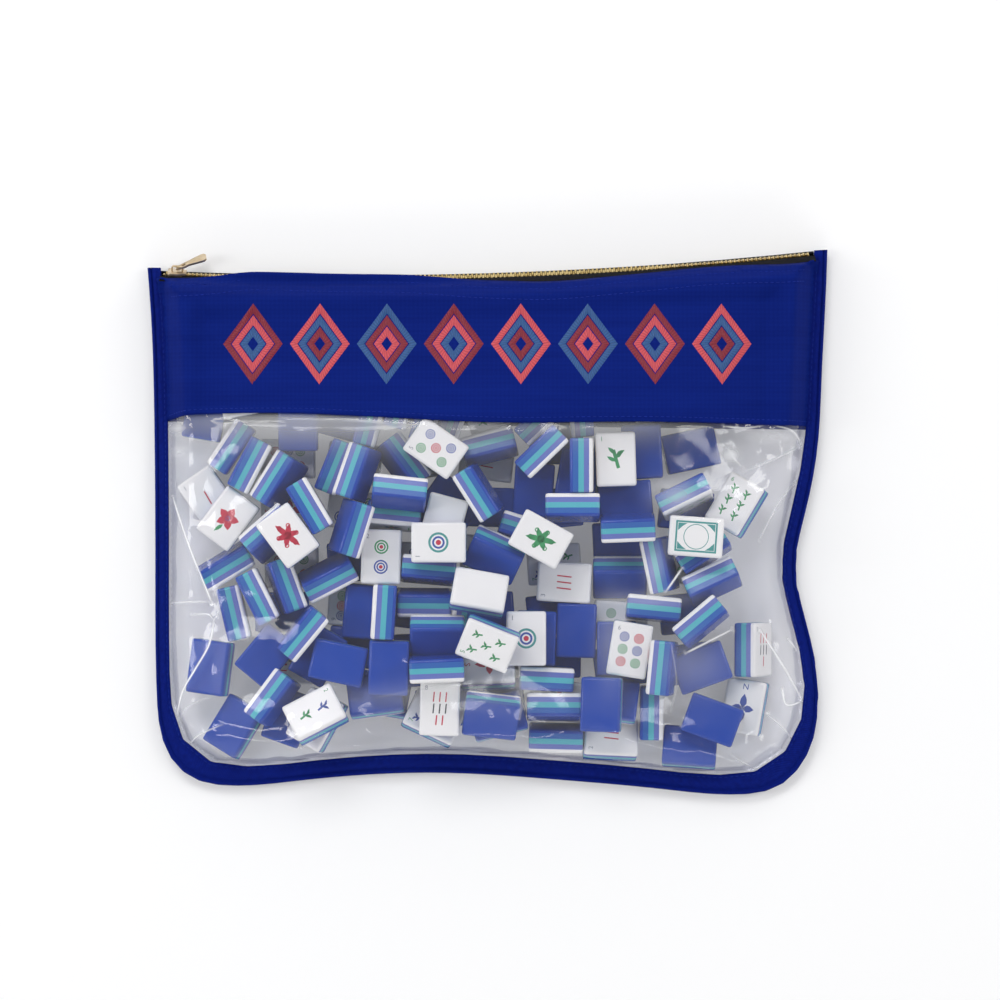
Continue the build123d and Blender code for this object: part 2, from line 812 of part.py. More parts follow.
# Teeth: two rows half a pitch apart, meshed along the chain and parted where the slider's wedge lies
def parting(x):
    """How far the slider holds a tooth off the middle of the chain."""
    share = (slider_at + 2.4 - x) / 3.0
    share = min(max(share, 0.0), 1.0)
    return spread * share * share * (3 - 2 * share)


tooth_count = int((chain_right - chain_left) / tooth_pitch)
for name, side, shift in (("zip_teeth_front", -1, 0.0), ("zip_teeth_back", 1, tooth_pitch / 2)):
    with BuildPart() as tooth:
        with BuildSketch():
            with BuildLine():
                Polyline(
                    (-tooth_root / 2, side * tooth_reach),
                    (-tooth_head * 0.32, side * tooth_reach * 0.35),
                    (-tooth_head / 2, -side * tooth_mesh),
                    (tooth_head / 2, -side * tooth_mesh),
                    (tooth_head * 0.32, side * tooth_reach * 0.35),
                    (tooth_root / 2, side * tooth_reach),
                    close=True,
                )
            make_face()
        extrude(amount=tooth_depth / 2, both=True)
    places_along = []
    for i in range(tooth_count):
        x = chain_left + tooth_pitch / 4 + shift + i * tooth_pitch
        places_along.append(zip_plane(x).location * Location((0, side * parting(x), 0)))
    with BuildPart() as teeth:
        with Locations(*places_along):
            add(tooth.part)
    write(teeth, name)


# Slider: two plates joined by the wedge, with side flanges that close on the tapes
slider_plane = zip_plane(slider_at)
plate_top = channel_depth / 2 + plate_thickness
half_length = slider_length / 2


def slider_outline(inset=0.0, overrun=0.0):
    """Outline of a slider plate, wide at the shoulders and narrow at the tail."""
    shoulder = shoulder_width / 2 - inset
    tail = tail_width / 2 - inset
    left = -half_length - overrun
    right = half_length + overrun
    points = [(left, shoulder * 0.84), (left + 1.0, shoulder), (-0.6, shoulder), (2.4, tail), (right, tail)]
    return points + [(x, -y) for x, y in reversed(points)]


with BuildPart() as slider_body:
    for low in (channel_depth / 2, -plate_top):
        with BuildSketch(slider_plane.offset(low)):
            with BuildLine():
                Polyline(*slider_outline(), close=True)
            make_face()
            fillet(vertices().group_by(Axis.X)[-1], radius=1.2)
        extrude(amount=plate_thickness)
    for low in (tape_slot / 2, -channel_depth / 2):
        with BuildSketch(slider_plane.offset(low)):
            with BuildLine():
                Polyline(*slider_outline(), close=True)
            make_face()
            fillet(vertices().group_by(Axis.X)[-1], radius=1.2)
            with BuildLine():
                Polyline(*slider_outline(flange_width, 1.0), close=True)
            make_face(mode=Mode.SUBTRACT)
        extrude(amount=(channel_depth - tape_slot) / 2)
    with BuildSketch(slider_plane.offset(-channel_depth / 2)):
        with BuildLine():
            Polyline(
                (-half_length + 0.4, -wedge_width / 2),
                (-half_length + 0.4 + wedge_length / 2, -wedge_width / 2),
                (-half_length + 0.4 + wedge_length, 0),
                (-half_length + 0.4 + wedge_length / 2, wedge_width / 2),
                (-half_length + 0.4, wedge_width / 2),
                close=True,
            )
        make_face()
    extrude(amount=channel_depth)
write(slider_body, "slider_body")

# Crown: an arch along the slider, with a window for the puller's bar
crown_plane = Plane(
    origin=slider_plane.origin + slider_plane.z_dir * plate_top,
    x_dir=slider_plane.x_dir,
    z_dir=-slider_plane.y_dir,
)
with BuildPart() as slider_crown:
    with BuildSketch(crown_plane):
        with Locations((0, crown_height / 2)):
            Rectangle(crown_length, crown_height)
        fillet(vertices().group_by(Axis.Y)[-1], radius=1.5)
        with Locations((0, (crown_height - crown_wall) / 2)):
            Rectangle(crown_length - 2 * crown_wall, crown_height - crown_wall, mode=Mode.SUBTRACT)
    extrude(amount=crown_width / 2, both=True)
write(slider_crown, "slider_crown")

# Puller: an eye whose bar turns under the crown, a narrow neck and a plate with a bevelled end
pivot_height = plate_top + crown_height - crown_wall - eye_bar / 2 - 0.1
pivot = slider_plane.origin + slider_plane.z_dir * pivot_height
rise_angle = math.radians(puller_rise)
puller_plane = Plane(
    origin=pivot,
    x_dir=slider_plane.x_dir * math.cos(rise_angle) + slider_plane.z_dir * math.sin(rise_angle),
    z_dir=slider_plane.z_dir * math.cos(rise_angle) - slider_plane.x_dir * math.sin(rise_angle),
)
eye_half = crown_width / 2 + running_gap + 0.9
eye_end = crown_length / 2 + 1.6
with BuildPart() as zip_puller:
    with BuildSketch(puller_plane.offset(-puller_thickness / 2)):
        upper_side = [
            (0, eye_half),
            (eye_end, eye_half),
            (eye_end + 2.0, puller_neck / 2 + 0.4),
            (puller_length - 3.2, puller_width / 2),
            (puller_length - 1.2, puller_width / 2),
            (puller_length, puller_width / 2 - 1.2),
        ]
        with BuildLine():
            Polyline(*upper_side, *[(x, -y) for x, y in reversed(upper_side)], close=True)
        make_face()
        with Locations((eye_end / 2 - 1, 0)):
            Rectangle(eye_end + 2, 2 * (crown_width / 2 + running_gap), mode=Mode.SUBTRACT)
    extrude(amount=puller_thickness)
    bar_plane = Plane(origin=pivot - slider_plane.y_dir * eye_half, x_dir=slider_plane.x_dir, z_dir=slider_plane.y_dir)
    with BuildSketch(bar_plane):
        Circle(eye_bar / 2)
    extrude(amount=2 * eye_half)
write(zip_puller, "zip_puller")

# Tiles: one blank, chamfered more on its back than on its face, laid at every place in the heap
with BuildPart() as tile_blank:
    Box(tile_length, tile_width, tile_thickness)
    chamfer(edges().group_by(Axis.Z)[-1], length=face_chamfer)
    chamfer(edges().group_by(Axis.Z)[0], length=back_chamfer)
for design in designs:
    spots = [
        Plane(origin=Vector(*place), x_dir=Vector(*axes[0]), z_dir=Vector(*axes[2])).location
        for place, axes, dealt_design in zip(places, turns, dealt)
        if dealt_design == design
    ]
    with BuildPart() as tiles:
        with Locations(*spots):
            add(tile_blank.part)
    write(tiles, f"{design}_tiles")
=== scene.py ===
import json
import math

import bmesh
import bpy
import numpy as np
from mathutils import Matrix, Vector, geometry
from mathutils.bvhtree import BVHTree


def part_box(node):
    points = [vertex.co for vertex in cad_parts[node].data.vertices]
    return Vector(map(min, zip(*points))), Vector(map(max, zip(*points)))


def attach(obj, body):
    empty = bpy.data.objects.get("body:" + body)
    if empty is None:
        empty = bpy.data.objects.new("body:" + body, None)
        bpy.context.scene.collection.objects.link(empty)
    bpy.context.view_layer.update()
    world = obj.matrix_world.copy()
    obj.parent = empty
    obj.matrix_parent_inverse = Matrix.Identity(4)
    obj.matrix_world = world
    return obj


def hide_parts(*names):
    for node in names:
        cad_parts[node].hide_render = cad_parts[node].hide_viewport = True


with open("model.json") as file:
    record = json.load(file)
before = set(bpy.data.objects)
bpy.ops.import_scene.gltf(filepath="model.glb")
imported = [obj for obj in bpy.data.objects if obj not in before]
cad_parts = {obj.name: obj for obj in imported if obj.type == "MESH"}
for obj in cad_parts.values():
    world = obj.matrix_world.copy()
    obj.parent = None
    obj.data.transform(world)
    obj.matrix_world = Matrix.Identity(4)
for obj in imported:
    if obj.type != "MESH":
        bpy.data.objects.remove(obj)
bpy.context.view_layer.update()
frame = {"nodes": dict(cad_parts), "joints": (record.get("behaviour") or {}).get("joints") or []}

mm = 0.001  # the settings below are in millimetres
scene = bpy.context.scene


def linear(hexColour):
    parts = [int(hexColour[i:i + 2], 16) / 255 for i in (1, 3, 5)]
    return [p / 12.92 if p <= 0.04045 else ((p + 0.055) / 1.055) ** 2.4 for p in parts] + [1.0]


# Adds a node with its settings; an input is a value or the socket that feeds it
def addNode(tree, kind, inputs=None, **settings):
    node = tree.nodes.new(kind)
    for name, value in settings.items():
        setattr(node, name, value)
    for name, value in (inputs or {}).items():
        if isinstance(value, bpy.types.NodeSocket):
            tree.links.new(value, node.inputs[name])
        else:
            node.inputs[name].default_value = value
    return node


# A math node fed by its values in order; gives its result
def mathNode(tree, operation, *values, **settings):
    return addNode(tree, "ShaderNodeMath", dict(enumerate(values)), operation=operation, **settings).outputs[0]


def newMaterial(name):
    material = bpy.data.materials.new(name)
    material.use_nodes = True
    material.node_tree.nodes.clear()
    return material, material.node_tree


def finishMaterial(tree, shader):
    addNode(tree, "ShaderNodeOutputMaterial", {"Surface": shader})


def finishPrincipled(tree, inputs):
    finishMaterial(tree, addNode(tree, "ShaderNodeBsdfPrincipled", inputs).outputs[0])


def setRamp(node, stops):
    ramp = node.color_ramp
    while len(ramp.elements) < len(stops):
        ramp.elements.new(1.0)
    for element, (place, colour) in zip(ramp.elements, stops):
        element.position = place
        element.color = colour


# A plain mesh object from points in millimetres
def makeObject(name, points, faces, material=None, smooth=True, edges=()):
    mesh = bpy.data.meshes.new(name)
    mesh.from_pydata((np.asarray(points, float) * mm).tolist(), list(edges), [list(f) for f in faces])
    mesh.polygons.foreach_set("use_smooth", [smooth] * len(mesh.polygons))
    if material:
        mesh.materials.append(material)
    mesh.update()
    piece = bpy.data.objects.new(name, mesh)
    scene.collection.objects.link(piece)
    return piece


def setAttribute(mesh, name, kind, values, domain="POINT"):
    field = {"FLOAT": "value", "FLOAT_VECTOR": "vector", "FLOAT_COLOR": "color", "QUATERNION": "value"}[kind]
    layer = mesh.attributes.new(name, kind, domain)
    layer.data.foreach_set(field, np.asarray(values, np.float32).ravel())


# Turns an object with live modifiers into a plain mesh piece
def freeze(carrier, name):
    graph = bpy.context.evaluated_depsgraph_get()
    mesh = bpy.data.meshes.new_from_object(carrier.evaluated_get(graph))
    bpy.data.objects.remove(carrier)
    mesh.name = name
    piece = bpy.data.objects.new(name, mesh)
    scene.collection.objects.link(piece)
    return piece


def newTree(name, inputs):
    tree = bpy.data.node_groups.new(name, "GeometryNodeTree")
    tree.interface.new_socket("Geometry", in_out="OUTPUT", socket_type="NodeSocketGeometry")
    tree.interface.new_socket("Geometry", in_out="INPUT", socket_type="NodeSocketGeometry")
    for label, kind in inputs.items():
        tree.interface.new_socket(label, in_out="INPUT", socket_type="NodeSocket" + kind)
    return tree, tree.nodes.new("NodeGroupInput"), tree.nodes.new("NodeGroupOutput")


# The end of a tree: its copies made real and given their material
def finishedCopies(tree, spots, material):
    whole = addNode(tree, "GeometryNodeRealizeInstances", {0: spots.outputs[0]})
    return addNode(tree, "GeometryNodeSetMaterial", {"Geometry": whole.outputs[0], "Material": material}).outputs[0]


# Runs a tree on a carrier with its named inputs and keeps the plain result
def growPiece(carrier, tree, values, name):
    modifier = carrier.modifiers.new(name, "NODES")
    modifier.node_group = tree
    for item in tree.interface.items_tree:
        if item.in_out == "INPUT" and item.name in values:
            modifier[item.identifier] = values[item.name]
    return freeze(carrier, name)


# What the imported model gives: triangles, heights and the bag's edge, in millimetres
def nodeTriangles(names):
    parts = []
    for name in names:
        mesh = frame["nodes"][name].data
        mesh.calc_loop_triangles()
        corners = np.array([v.co for v in mesh.vertices]) / mm
        parts.append(corners[np.array([t.vertices for t in mesh.loop_triangles])])
    return np.concatenate(parts)


def surfaceTree(triangles):
    points = triangles.reshape(-1, 3)
    return BVHTree.FromPolygons(points.tolist(), np.arange(len(points)).reshape(-1, 3).tolist())


grid = {"step": 1.5, "left": -192.0, "right": 192.0, "low": -156.0, "high": 156.0}
gridX = np.arange(grid["left"], grid["right"] + 0.1, grid["step"])
gridY = np.arange(grid["low"], grid["high"] + 0.1, grid["step"])


def castHeights(tree, startZ, direction):
    found = np.full((len(gridX), len(gridY)), np.nan)
    for i, x in enumerate(gridX):
        for j, y in enumerate(gridY):
            hit = tree.ray_cast(Vector((x, y, startZ)), Vector((0, 0, direction)))[0]
            if hit:
                found[i, j] = hit.z
    return found


def spreadOut(field):
    field = field.copy()
    while np.isnan(field).any():
        padded = np.pad(field, 1, constant_values=np.nan)
        near = np.stack([padded[2:, 1:-1], padded[:-2, 1:-1], padded[1:-1, 2:], padded[1:-1, :-2]])
        known = (~np.isnan(near)).sum(axis=0)
        mean = np.nansum(near, axis=0) / np.maximum(known, 1)
        field = np.where(np.isnan(field) & (known > 0), mean, field)
    return field


def smoothField(field, rounds):
    for i in range(rounds):
        padded = np.pad(field, 1, mode="edge")
        field = (padded[2:, 1:-1] + padded[:-2, 1:-1] + padded[1:-1, 2:] + padded[1:-1, :-2]) / 4
    return field


def sampleField(field, x, y):
    u = np.clip((np.asarray(x) - gridX[0]) / grid["step"], 0, len(gridX) - 1.001)
    v = np.clip((np.asarray(y) - gridY[0]) / grid["step"], 0, len(gridY) - 1.001)
    i, j = u.astype(int), v.astype(int)
    u, v = u - i, v - j
    low = field[i, j] * (1 - u) + field[i + 1, j] * u
    high = field[i, j + 1] * (1 - u) + field[i + 1, j + 1] * u
    return low * (1 - v) + high * v


def resample(points, count):
    points = np.asarray(points, float)
    along = np.concatenate([[0], np.cumsum(np.linalg.norm(np.diff(points, axis=0), axis=1))])
    places = np.linspace(0, along[-1], count)
    return np.stack([np.interp(places, along, points[:, k]) for k in range(points.shape[1])], axis=1)


# A smooth line through given points
def splineThrough(points, count):
    points = np.asarray(points, float)
    points = np.vstack([2 * points[0] - points[1], points, 2 * points[-1] - points[-2]])
    made = []
    for i in range(1, len(points) - 2):
        a, b, c, d = points[i - 1:i + 3]
        for t in np.linspace(0, 1, 16, endpoint=False):
            made.append(0.5 * (2 * b + (c - a) * t + (2 * a - 5 * b + 4 * c - d) * t ** 2
                               + (3 * b - a - 3 * c + d) * t ** 3))
    made.append(points[-2])
    return resample(made, count)


# The bag's edge from the binding's upper face: an outer and an inner line, left mouth end to right
def readRim():
    triangles = nodeTriangles(["edge_binding"])
    top = triangles[:, :, 2].max()
    flat = triangles[(triangles[:, :, 2] > top - 0.01).all(axis=1)][:, :, :2].round(3)
    count = {}
    for corners in flat:
        keys = [tuple(p) for p in corners]
        for a, b in zip(keys, keys[1:] + keys[:1]):
            count[frozenset((a, b))] = count.get(frozenset((a, b)), 0) + 1
    links = {}
    for edge, uses in count.items():
        if uses == 1:
            a, b = edge
            links.setdefault(a, []).append(b)
            links.setdefault(b, []).append(a)
    ends = []
    for side in (-1, 1):
        corners = sorted((p for p in links if p[0] * side > 0), key=lambda p: -p[1])[:2]
        ends.append(sorted(corners, key=lambda p: -p[0] * side))
    lines = []
    for which in (0, 1):
        line = [ends[0][which]]
        before = ends[0][1 - which]
        while line[-1] != ends[1][which]:
            following = [p for p in links[line[-1]] if p != before]
            before = line[-1]
            line.append(following[0])
        lines.append(np.array(line))
    return lines, top


(rimOuter, rimInner), bindingTop = readRim()
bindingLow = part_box("edge_binding")[0].z / mm
farAxis = np.array(next(j["pos_m"] for j in frame["joints"] if j["name"] == "slider_travel")[:2]) / mm
print("frame read:", len(rimOuter), "edge points, binding top at", round(bindingTop, 2))

tileNodes = sorted(n for n in frame["nodes"] if n.endswith("_tiles"))
frontTree = surfaceTree(nodeTriangles(["front_vinyl_panel", "front_band", "zip_tape_front"]))
frontHeight = castHeights(frontTree, 200.0, -1)
backHeight = castHeights(surfaceTree(nodeTriangles(["back_vinyl_panel", "back_band"])), -20.0, 1)
heapHeight = castHeights(surfaceTree(nodeTriangles(tileNodes)), 200.0, -1)
insideBag = ~np.isnan(frontHeight)
frontHeight = spreadOut(frontHeight)
backHeight = spreadOut(backHeight)
print("heights read: front up to", round(frontHeight.max(), 1), "heap up to", round(np.nanmax(heapHeight), 1))

# How the front lies: it sags a share of the way from its solid down to a sheet pulled over the tiles
drape = {"clear": 0.7, "rounds": 900, "sag": 0.55, "soften": 2, "stiffRim": 14.0, "fadeRim": 26.0}
heapTop = np.where(np.isnan(heapHeight), -100.0, heapHeight + drape["clear"])
rimZone = ~insideBag | (frontHeight < bindingTop + 0.3)
taut = frontHeight.copy()
for i in range(drape["rounds"]):
    taut = np.where(rimZone, frontHeight, np.clip(smoothField(taut, 1), heapTop, frontHeight))
fromRim = np.zeros_like(frontHeight)
reached = rimZone.copy()
for ring in range(int(drape["fadeRim"] / grid["step"])):
    fromRim += ~reached * grid["step"]
    padded = np.pad(reached, 1)
    reached |= padded[2:, 1:-1] | padded[:-2, 1:-1] | padded[1:-1, 2:] | padded[1:-1, :-2]
loose = np.clip((fromRim - drape["stiffRim"]) / (drape["fadeRim"] - drape["stiffRim"] - grid["step"]), 0, 1)
sagDepth = smoothField(drape["sag"] * loose * (frontHeight - taut), drape["soften"])


# Height of the front at each point, from the solids' own surface
def frontLie(x, y):
    found = []
    for px, py in zip(np.atleast_1d(x), np.atleast_1d(y)):
        hit = frontTree.ray_cast(Vector((px, py, 200.0)), Vector((0, 0, -1)))[0]
        found.append(hit.z if hit else sampleField(frontHeight, px, py))
    return np.array(found) - sampleField(sagDepth, x, y)


print("front draped")


# Cloth and film are triangulated between their outlines, with creases as lines of their own
def insidePolygon(points, polygon):
    x, y = points[:, 0], points[:, 1]
    inside = np.zeros(len(points), bool)
    ax, ay = polygon[-1]
    for bx, by in polygon:
        crosses = (by > y) != (ay > y)
        with np.errstate(divide="ignore", invalid="ignore"):
            inside ^= crosses & (x < (ax - bx) * (y - by) / (ay - by) + bx)
        ax, ay = bx, by
    return inside


def distanceTo(points, line):
    best = np.full(len(points), np.inf)
    for a, b in zip(line[:-1], line[1:]):
        run = b - a
        share = np.clip(((points - a) @ run) / max(run @ run, 1e-9), 0, 1)
        best = np.minimum(best, np.linalg.norm(points - a - share[:, None] * run, axis=1))
    return best


def fillOutline(outline, spacing, lines=()):
    low, high = outline.min(axis=0), outline.max(axis=0)
    xs = np.arange(low[0] + spacing / 2, high[0], spacing)
    ys = np.arange(low[1] + spacing / 2, high[1], spacing)
    points = np.array([(x + (j % 2) * spacing / 2, y) for j, y in enumerate(ys) for x in xs])
    points = points[insidePolygon(points, outline)]
    points = points[distanceTo(points, np.vstack([outline, outline[:1]])) > spacing * 0.55]
    for line in lines:
        points = points[distanceTo(points, line) > spacing * 0.6]
    every = [outline, *lines, points]
    starts = np.cumsum([0] + [len(part) for part in every])
    edges = [(i, (i + 1) % len(outline)) for i in range(len(outline))]
    for k, line in enumerate(lines):
        edges += [(starts[k + 1] + i, starts[k + 1] + i + 1) for i in range(len(line) - 1)]
    verts = [Vector(p) for part in every for p in part.tolist()]
    made = geometry.delaunay_2d_cdt(verts, [tuple(map(int, e)) for e in edges], [], 1, 1e-4)
    return np.array([tuple(p) for p in made[0]]), made[2]


def thicken(piece, amount):
    modifier = piece.modifiers.new("wall", "SOLIDIFY")
    modifier.thickness = amount * mm
    modifier.offset = -1
    return freeze(piece, piece.name)


# Zip line and band edges
band = {
    "spacing": 1.8,
    "thickness": 0.8,
    # top edge in mm below the middle of the zip, from left to right; read off the photograph by a scratch
    # script and longer than the shape needs, see report.md
    "mouthDrop": [(-186, 3.0), (-178, 2.4), (-161, 1.1), (-150, -0.2), (-138, -2.2), (-127, -3.0), (-105, -2.9),
                  (-88, -2.6), (-49, -2.0), (-30, -0.6), (-15, 0.9), (-4, 1.9), (18, 3.4), (29, 4.1), (46, 4.1),
                  (63, 3.4), (85, 2.6), (97, 2.2), (119, 1.6), (141, 2.2), (164, 3.9), (175, 4.1), (186, 4.0)],
    "lowEdge": [(-188, 54.5), (-176, 57.0), (-160, 59.8), (-108, 60.2), (-68, 58.6), (6, 55.2), (88, 55.6),
                (178, 53.4), (188, 53.0)],
    "backLowEdge": [(-188, 56.2), (0, 53.8), (188, 51.4)],
    "tuck": 2.4,
    "hemRows": (4.4, 10.6),
    "lowRows": (2.6,),
    "rowDip": 0.3,
    "rowWidth": 1.1,
}
chainRadius = 2416.5  # from the far axis to the middle of the zip


def zipPoint(x, drop=0.0):
    radius = chainRadius + drop
    return np.stack([x, farAxis[1] - np.sqrt(radius ** 2 - (np.asarray(x) - farAxis[0]) ** 2)], axis=-1)


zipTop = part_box("zip_teeth_front")[1].z / mm


# Height of the band: it lies on the front, and where its hem is pulled up it reaches out over the zip
def bandLie(x, y):
    x, y = np.asarray(x, float), np.asarray(y, float)
    line = zipPoint(x)[:, 1]
    height = frontLie(x, np.minimum(y, line - 1.0))
    reach = np.clip((y - line + 3.0) / 2.0, 0, 1) * np.clip((-x - 5) / 20, 0, 1) * np.clip((x + 168) / 12, 0, 1)
    height = height + reach * np.maximum(zipTop + 1.2 - height, 0)
    ends = np.clip((np.abs(x) - 171) / 3, 0, 1) * np.clip(1 - (line - y) / 12, 0, 1)
    return height + 0.35 + np.where(x < 0, 2.2, 1.1) * ends


# The part of the bag's inner outline that a piece runs into, drawn outward under the binding
tucked = rimInner + (resample(rimOuter, len(rimInner)) - rimInner) * (band["tuck"] / 7.4)
tucked = resample(tucked, 420)

mouthX = np.linspace(tucked[0][0], tucked[-1][0], 230)
mouthDrops = splineThrough(band["mouthDrop"], 400)
mouthDrop = np.interp(mouthX, mouthDrops[:, 0], mouthDrops[:, 1])
mouthEdge = zipPoint(mouthX, mouthDrop)
backMouthEdge = zipPoint(mouthX, np.full(len(mouthX), 4.6))


def outlineAbove(lowEdge, mouth):
    line = splineThrough(lowEdge, 240)
    lowAt = lambda x: np.interp(x, line[:, 0], line[:, 1])
    left = tucked[:len(tucked) // 2]
    right = tucked[len(tucked) // 2:]
    left = left[(left[:, 1] > lowAt(left[:, 0]) + 0.8) & (left[:, 1] < mouth[0][1] - 0.5)]
    right = right[(right[:, 1] > lowAt(right[:, 0]) + 0.8) & (right[:, 1] < mouth[-1][1] - 0.5)]
    inside = line[(line[:, 0] > left[-1][0]) & (line[:, 0] < right[0][0])]
    return np.vstack([left, inside, right, mouth[::-1]]), inside


def outlineBelow(lowEdge, lap):
    line = splineThrough(lowEdge, 240) + [0, lap]
    lowAt = lambda x: np.interp(x, line[:, 0], line[:, 1])
    rest = tucked[tucked[:, 1] < lowAt(tucked[:, 0]) - 0.8]
    inside = line[(line[:, 0] > rest[0][0]) & (line[:, 0] < rest[-1][0])]
    return np.vstack([rest, inside[::-1]])


# Creases of the film: its line, height, half-width and how white the fold is; the white is partly stress whitening
# and partly a painted glint along the fold
creases = [dict(zip(("line", "high", "wide", "white"), crease)) for crease in [
    ([(-175, 14), (-165, -13), (-157, -33), (-152, -45)], 1.5, 5, 0.6),
    ([(-176, -45), (-165, -44), (-153, -44)], 0.9, 4, 0.35),
    ([(-163, -51), (-154, -51), (-151, -55)], 0.8, 3, 0.4),
    ([(-151, -55), (-154, -68), (-162, -82), (-169, -94), (-173, -108)], 1.6, 5, 0.6),
    ([(-149, -51), (-152, -55)], 0.8, 3, 0.3),
    ([(-147, -112), (-160, -118), (-168, -126)], 1.4, 6, 0.3),
    ([(-152, -96), (-166, -102), (-172, -112)], 1.0, 5, 0.15),
    ([(130, 53), (142, 52), (156, 54)], 1.0, 4, 0.45),
    ([(156, 54), (169, 50.5), (175, 43)], 1.4, 4, 0.5),
    ([(174, 42), (159, 35), (142, 28)], 1.4, 6, 0.2),
    ([(131, 43), (137, 34), (141, 30)], 1.6, 5, 0.3),
    ([(176, 26), (162, 12), (150, -10)], 1.5, 5, 0.25),
    ([(169, 20), (153, -3)], 1.2, 4, 0.15),
    ([(151, -60), (162, -77), (174, -97)], 1.7, 5, 0.5),
    ([(167, -65), (172, -71)], 1.2, 3, 0.5),
    ([(163, -92), (165.5, -101), (175.5, -100)], 1.5, 3.5, 0.7),
    ([(153, -105), (164, -114), (171, -123)], 1.4, 6, 0.25),
    ([(135, -129), (150, -138)], 1.2, 6, 0.2),
    ([(107, -25), (98, -38)], 0.8, 4, 0.6),
    ([(135, -59), (125, -64), (109, -72)], 0.9, 4, 0.5),
    ([(101, -66), (104, -88), (101, -104)], 0.8, 4, 0.15),
    ([(-8, -88), (-40, -92), (-64, -97)], 0.6, 6, 0.1),
]]


def liftOfCreases(points):
    lift = np.zeros(len(points))
    white = np.zeros(len(points))
    for crease in creases:
        line = np.asarray(crease["line"], float)
        away = distanceTo(points, line)
        near = away < 3 * crease["wide"]
        ends = np.minimum(np.linalg.norm(points - line[0], axis=1), np.linalg.norm(points - line[-1], axis=1))
        fade = np.clip(ends / crease["wide"], 0, 1)
        ridge = np.exp(-np.sqrt((away / crease["wide"]) ** 2 + 0.02) * 1.6)
        lift += np.where(near, crease["high"] * ridge * fade, 0)
        # the white line along the fold: partly stress whitening, partly a painted glint
        white = np.maximum(white, np.where(away < 0.05, crease["white"] * (0.4 + 0.6 * fade), 0))
    return lift, white


foldWidth = 0.85  # half the width of the white line along a fold
creaseLines = []
for crease in creases:
    length = np.linalg.norm(np.diff(crease["line"], axis=0), axis=1).sum()
    middle = splineThrough(crease["line"], max(6, int(length / 1.5)))
    crease["line"] = middle
    across = np.gradient(middle, axis=0)
    across = np.stack([-across[:, 1], across[:, 0]], axis=1) / np.linalg.norm(across, axis=1)[:, None]
    creaseLines += [middle, middle[1:-1] + foldWidth * across[1:-1], middle[1:-1] - foldWidth * across[1:-1]]


# Painted reflections: white patches on the film where glints and reflections of the lamps are painted in: middle,
# half sizes and how white
paintedReflections = [
    ((-85, 58), (95, 15), 0.32), ((72, 58), (46, 12), 0.2), ((68, -66), (8, 24), 0.16), ((113, -79), (20, 15), 0.14),
    ((104, 15), (12, 8), 0.3), ((134, 37), (5, 4), 0.55), ((-173, 52), (6, 2.6), 0.3), ((-171, 39), (5, 2.6), 0.22),
    ((92, -24), (5, 12), 0.22), ((88, -42), (22, 4), 0.16), ((-30, -96), (60, 6), 0.12), ((158, 48), (14, 4), 0.25),
]


def cloudiness(points):
    white = np.zeros(len(points))
    for middle, size, strength in paintedReflections:
        away = np.linalg.norm((points - middle) / size, axis=1)
        white += strength * np.exp(-away ** 2)
    return white


def rowsDip(points, lines, dip, wide):
    drop = np.zeros(len(points))
    for line in lines:
        drop += dip * np.exp(-(distanceTo(points, line) / wide) ** 2)
    return drop


# Materials

# Clear PVC film, calendered: see-through and glossy, a little milky, white along its folds partly from stress
# whitening and partly as a painted glint, and whitened where reflections of the lamps are painted in
vinyl = {
    "tint": "#fefeff", "ior": 1.53, "roughness": 0.09, "milk": 0.03,
    "rippleMm": 26.0, "pebbleMm": 17.0, "rippleHeight": 0.95,
}


def makeVinyl():
    material, tree = newMaterial("clearPvcFilm")
    place = addNode(tree, "ShaderNodeTexCoord").outputs["Object"]
    ripples = addNode(tree, "ShaderNodeTexNoise", {
        "Vector": place, "Scale": 1000 / vinyl["rippleMm"], "Detail": 2.0, "Roughness": 0.45, "Distortion": 0.6})
    fine = addNode(tree, "ShaderNodeTexVoronoi", {"Vector": place, "Scale": 1000 / vinyl["pebbleMm"]},
                   feature="SMOOTH_F1")
    pebbles = fine.outputs["Distance"]
    heights = mathNode(tree, "MULTIPLY_ADD", ripples.outputs["Fac"], pebbles, pebbles)
    bump = addNode(tree, "ShaderNodeBump", {
        "Height": heights, "Strength": 1.0, "Distance": vinyl["rippleHeight"] * mm})
    see = addNode(tree, "ShaderNodeBsdfTransparent", {"Color": linear(vinyl["tint"])})
    gloss = addNode(tree, "ShaderNodeBsdfGlossy", {"Roughness": vinyl["roughness"], "Normal": bump.outputs[0]})
    shine = addNode(tree, "ShaderNodeFresnel", {"IOR": vinyl["ior"], "Normal": bump.outputs[0]})
    # light that leaves the film's wall from inside passes on, so the thin wall traps none of it
    side = addNode(tree, "ShaderNodeNewGeometry")
    outside = mathNode(tree, "SUBTRACT", 1.0, side.outputs["Backfacing"])
    mirror = mathNode(tree, "MULTIPLY", shine.outputs[0], outside)
    clear = addNode(tree, "ShaderNodeMixShader", {0: mirror, 1: see.outputs[0], 2: gloss.outputs[0]})
    milk = addNode(tree, "ShaderNodeBsdfDiffuse", {"Color": linear("#f4f5f8")})
    # the white diffuse layer: a constant real milkiness, plus the attribute's fold whitening, painted glints and
    # painted reflections
    fold = addNode(tree, "ShaderNodeAttribute", attribute_name="foldWhite")
    hazeAndPaintedGlare = mathNode(tree, "MULTIPLY_ADD", fold.outputs["Fac"], 1.0, vinyl["milk"], use_clamp=True)
    frontHazeAndPaintedGlare = mathNode(tree, "MULTIPLY", hazeAndPaintedGlare, outside)
    film = addNode(tree, "ShaderNodeMixShader", {0: frontHazeAndPaintedGlare, 1: clear.outputs[0], 2: milk.outputs[0]})
    finishMaterial(tree, film.outputs[0])
    return material


# Cotton canvas, vat dyed: matt and deep, threads drawn at about twice their real width so that they show
canvas = {"blue": "#061a6a", "pale": "#0b2279", "threadMm": 1.2, "roughness": 0.85}


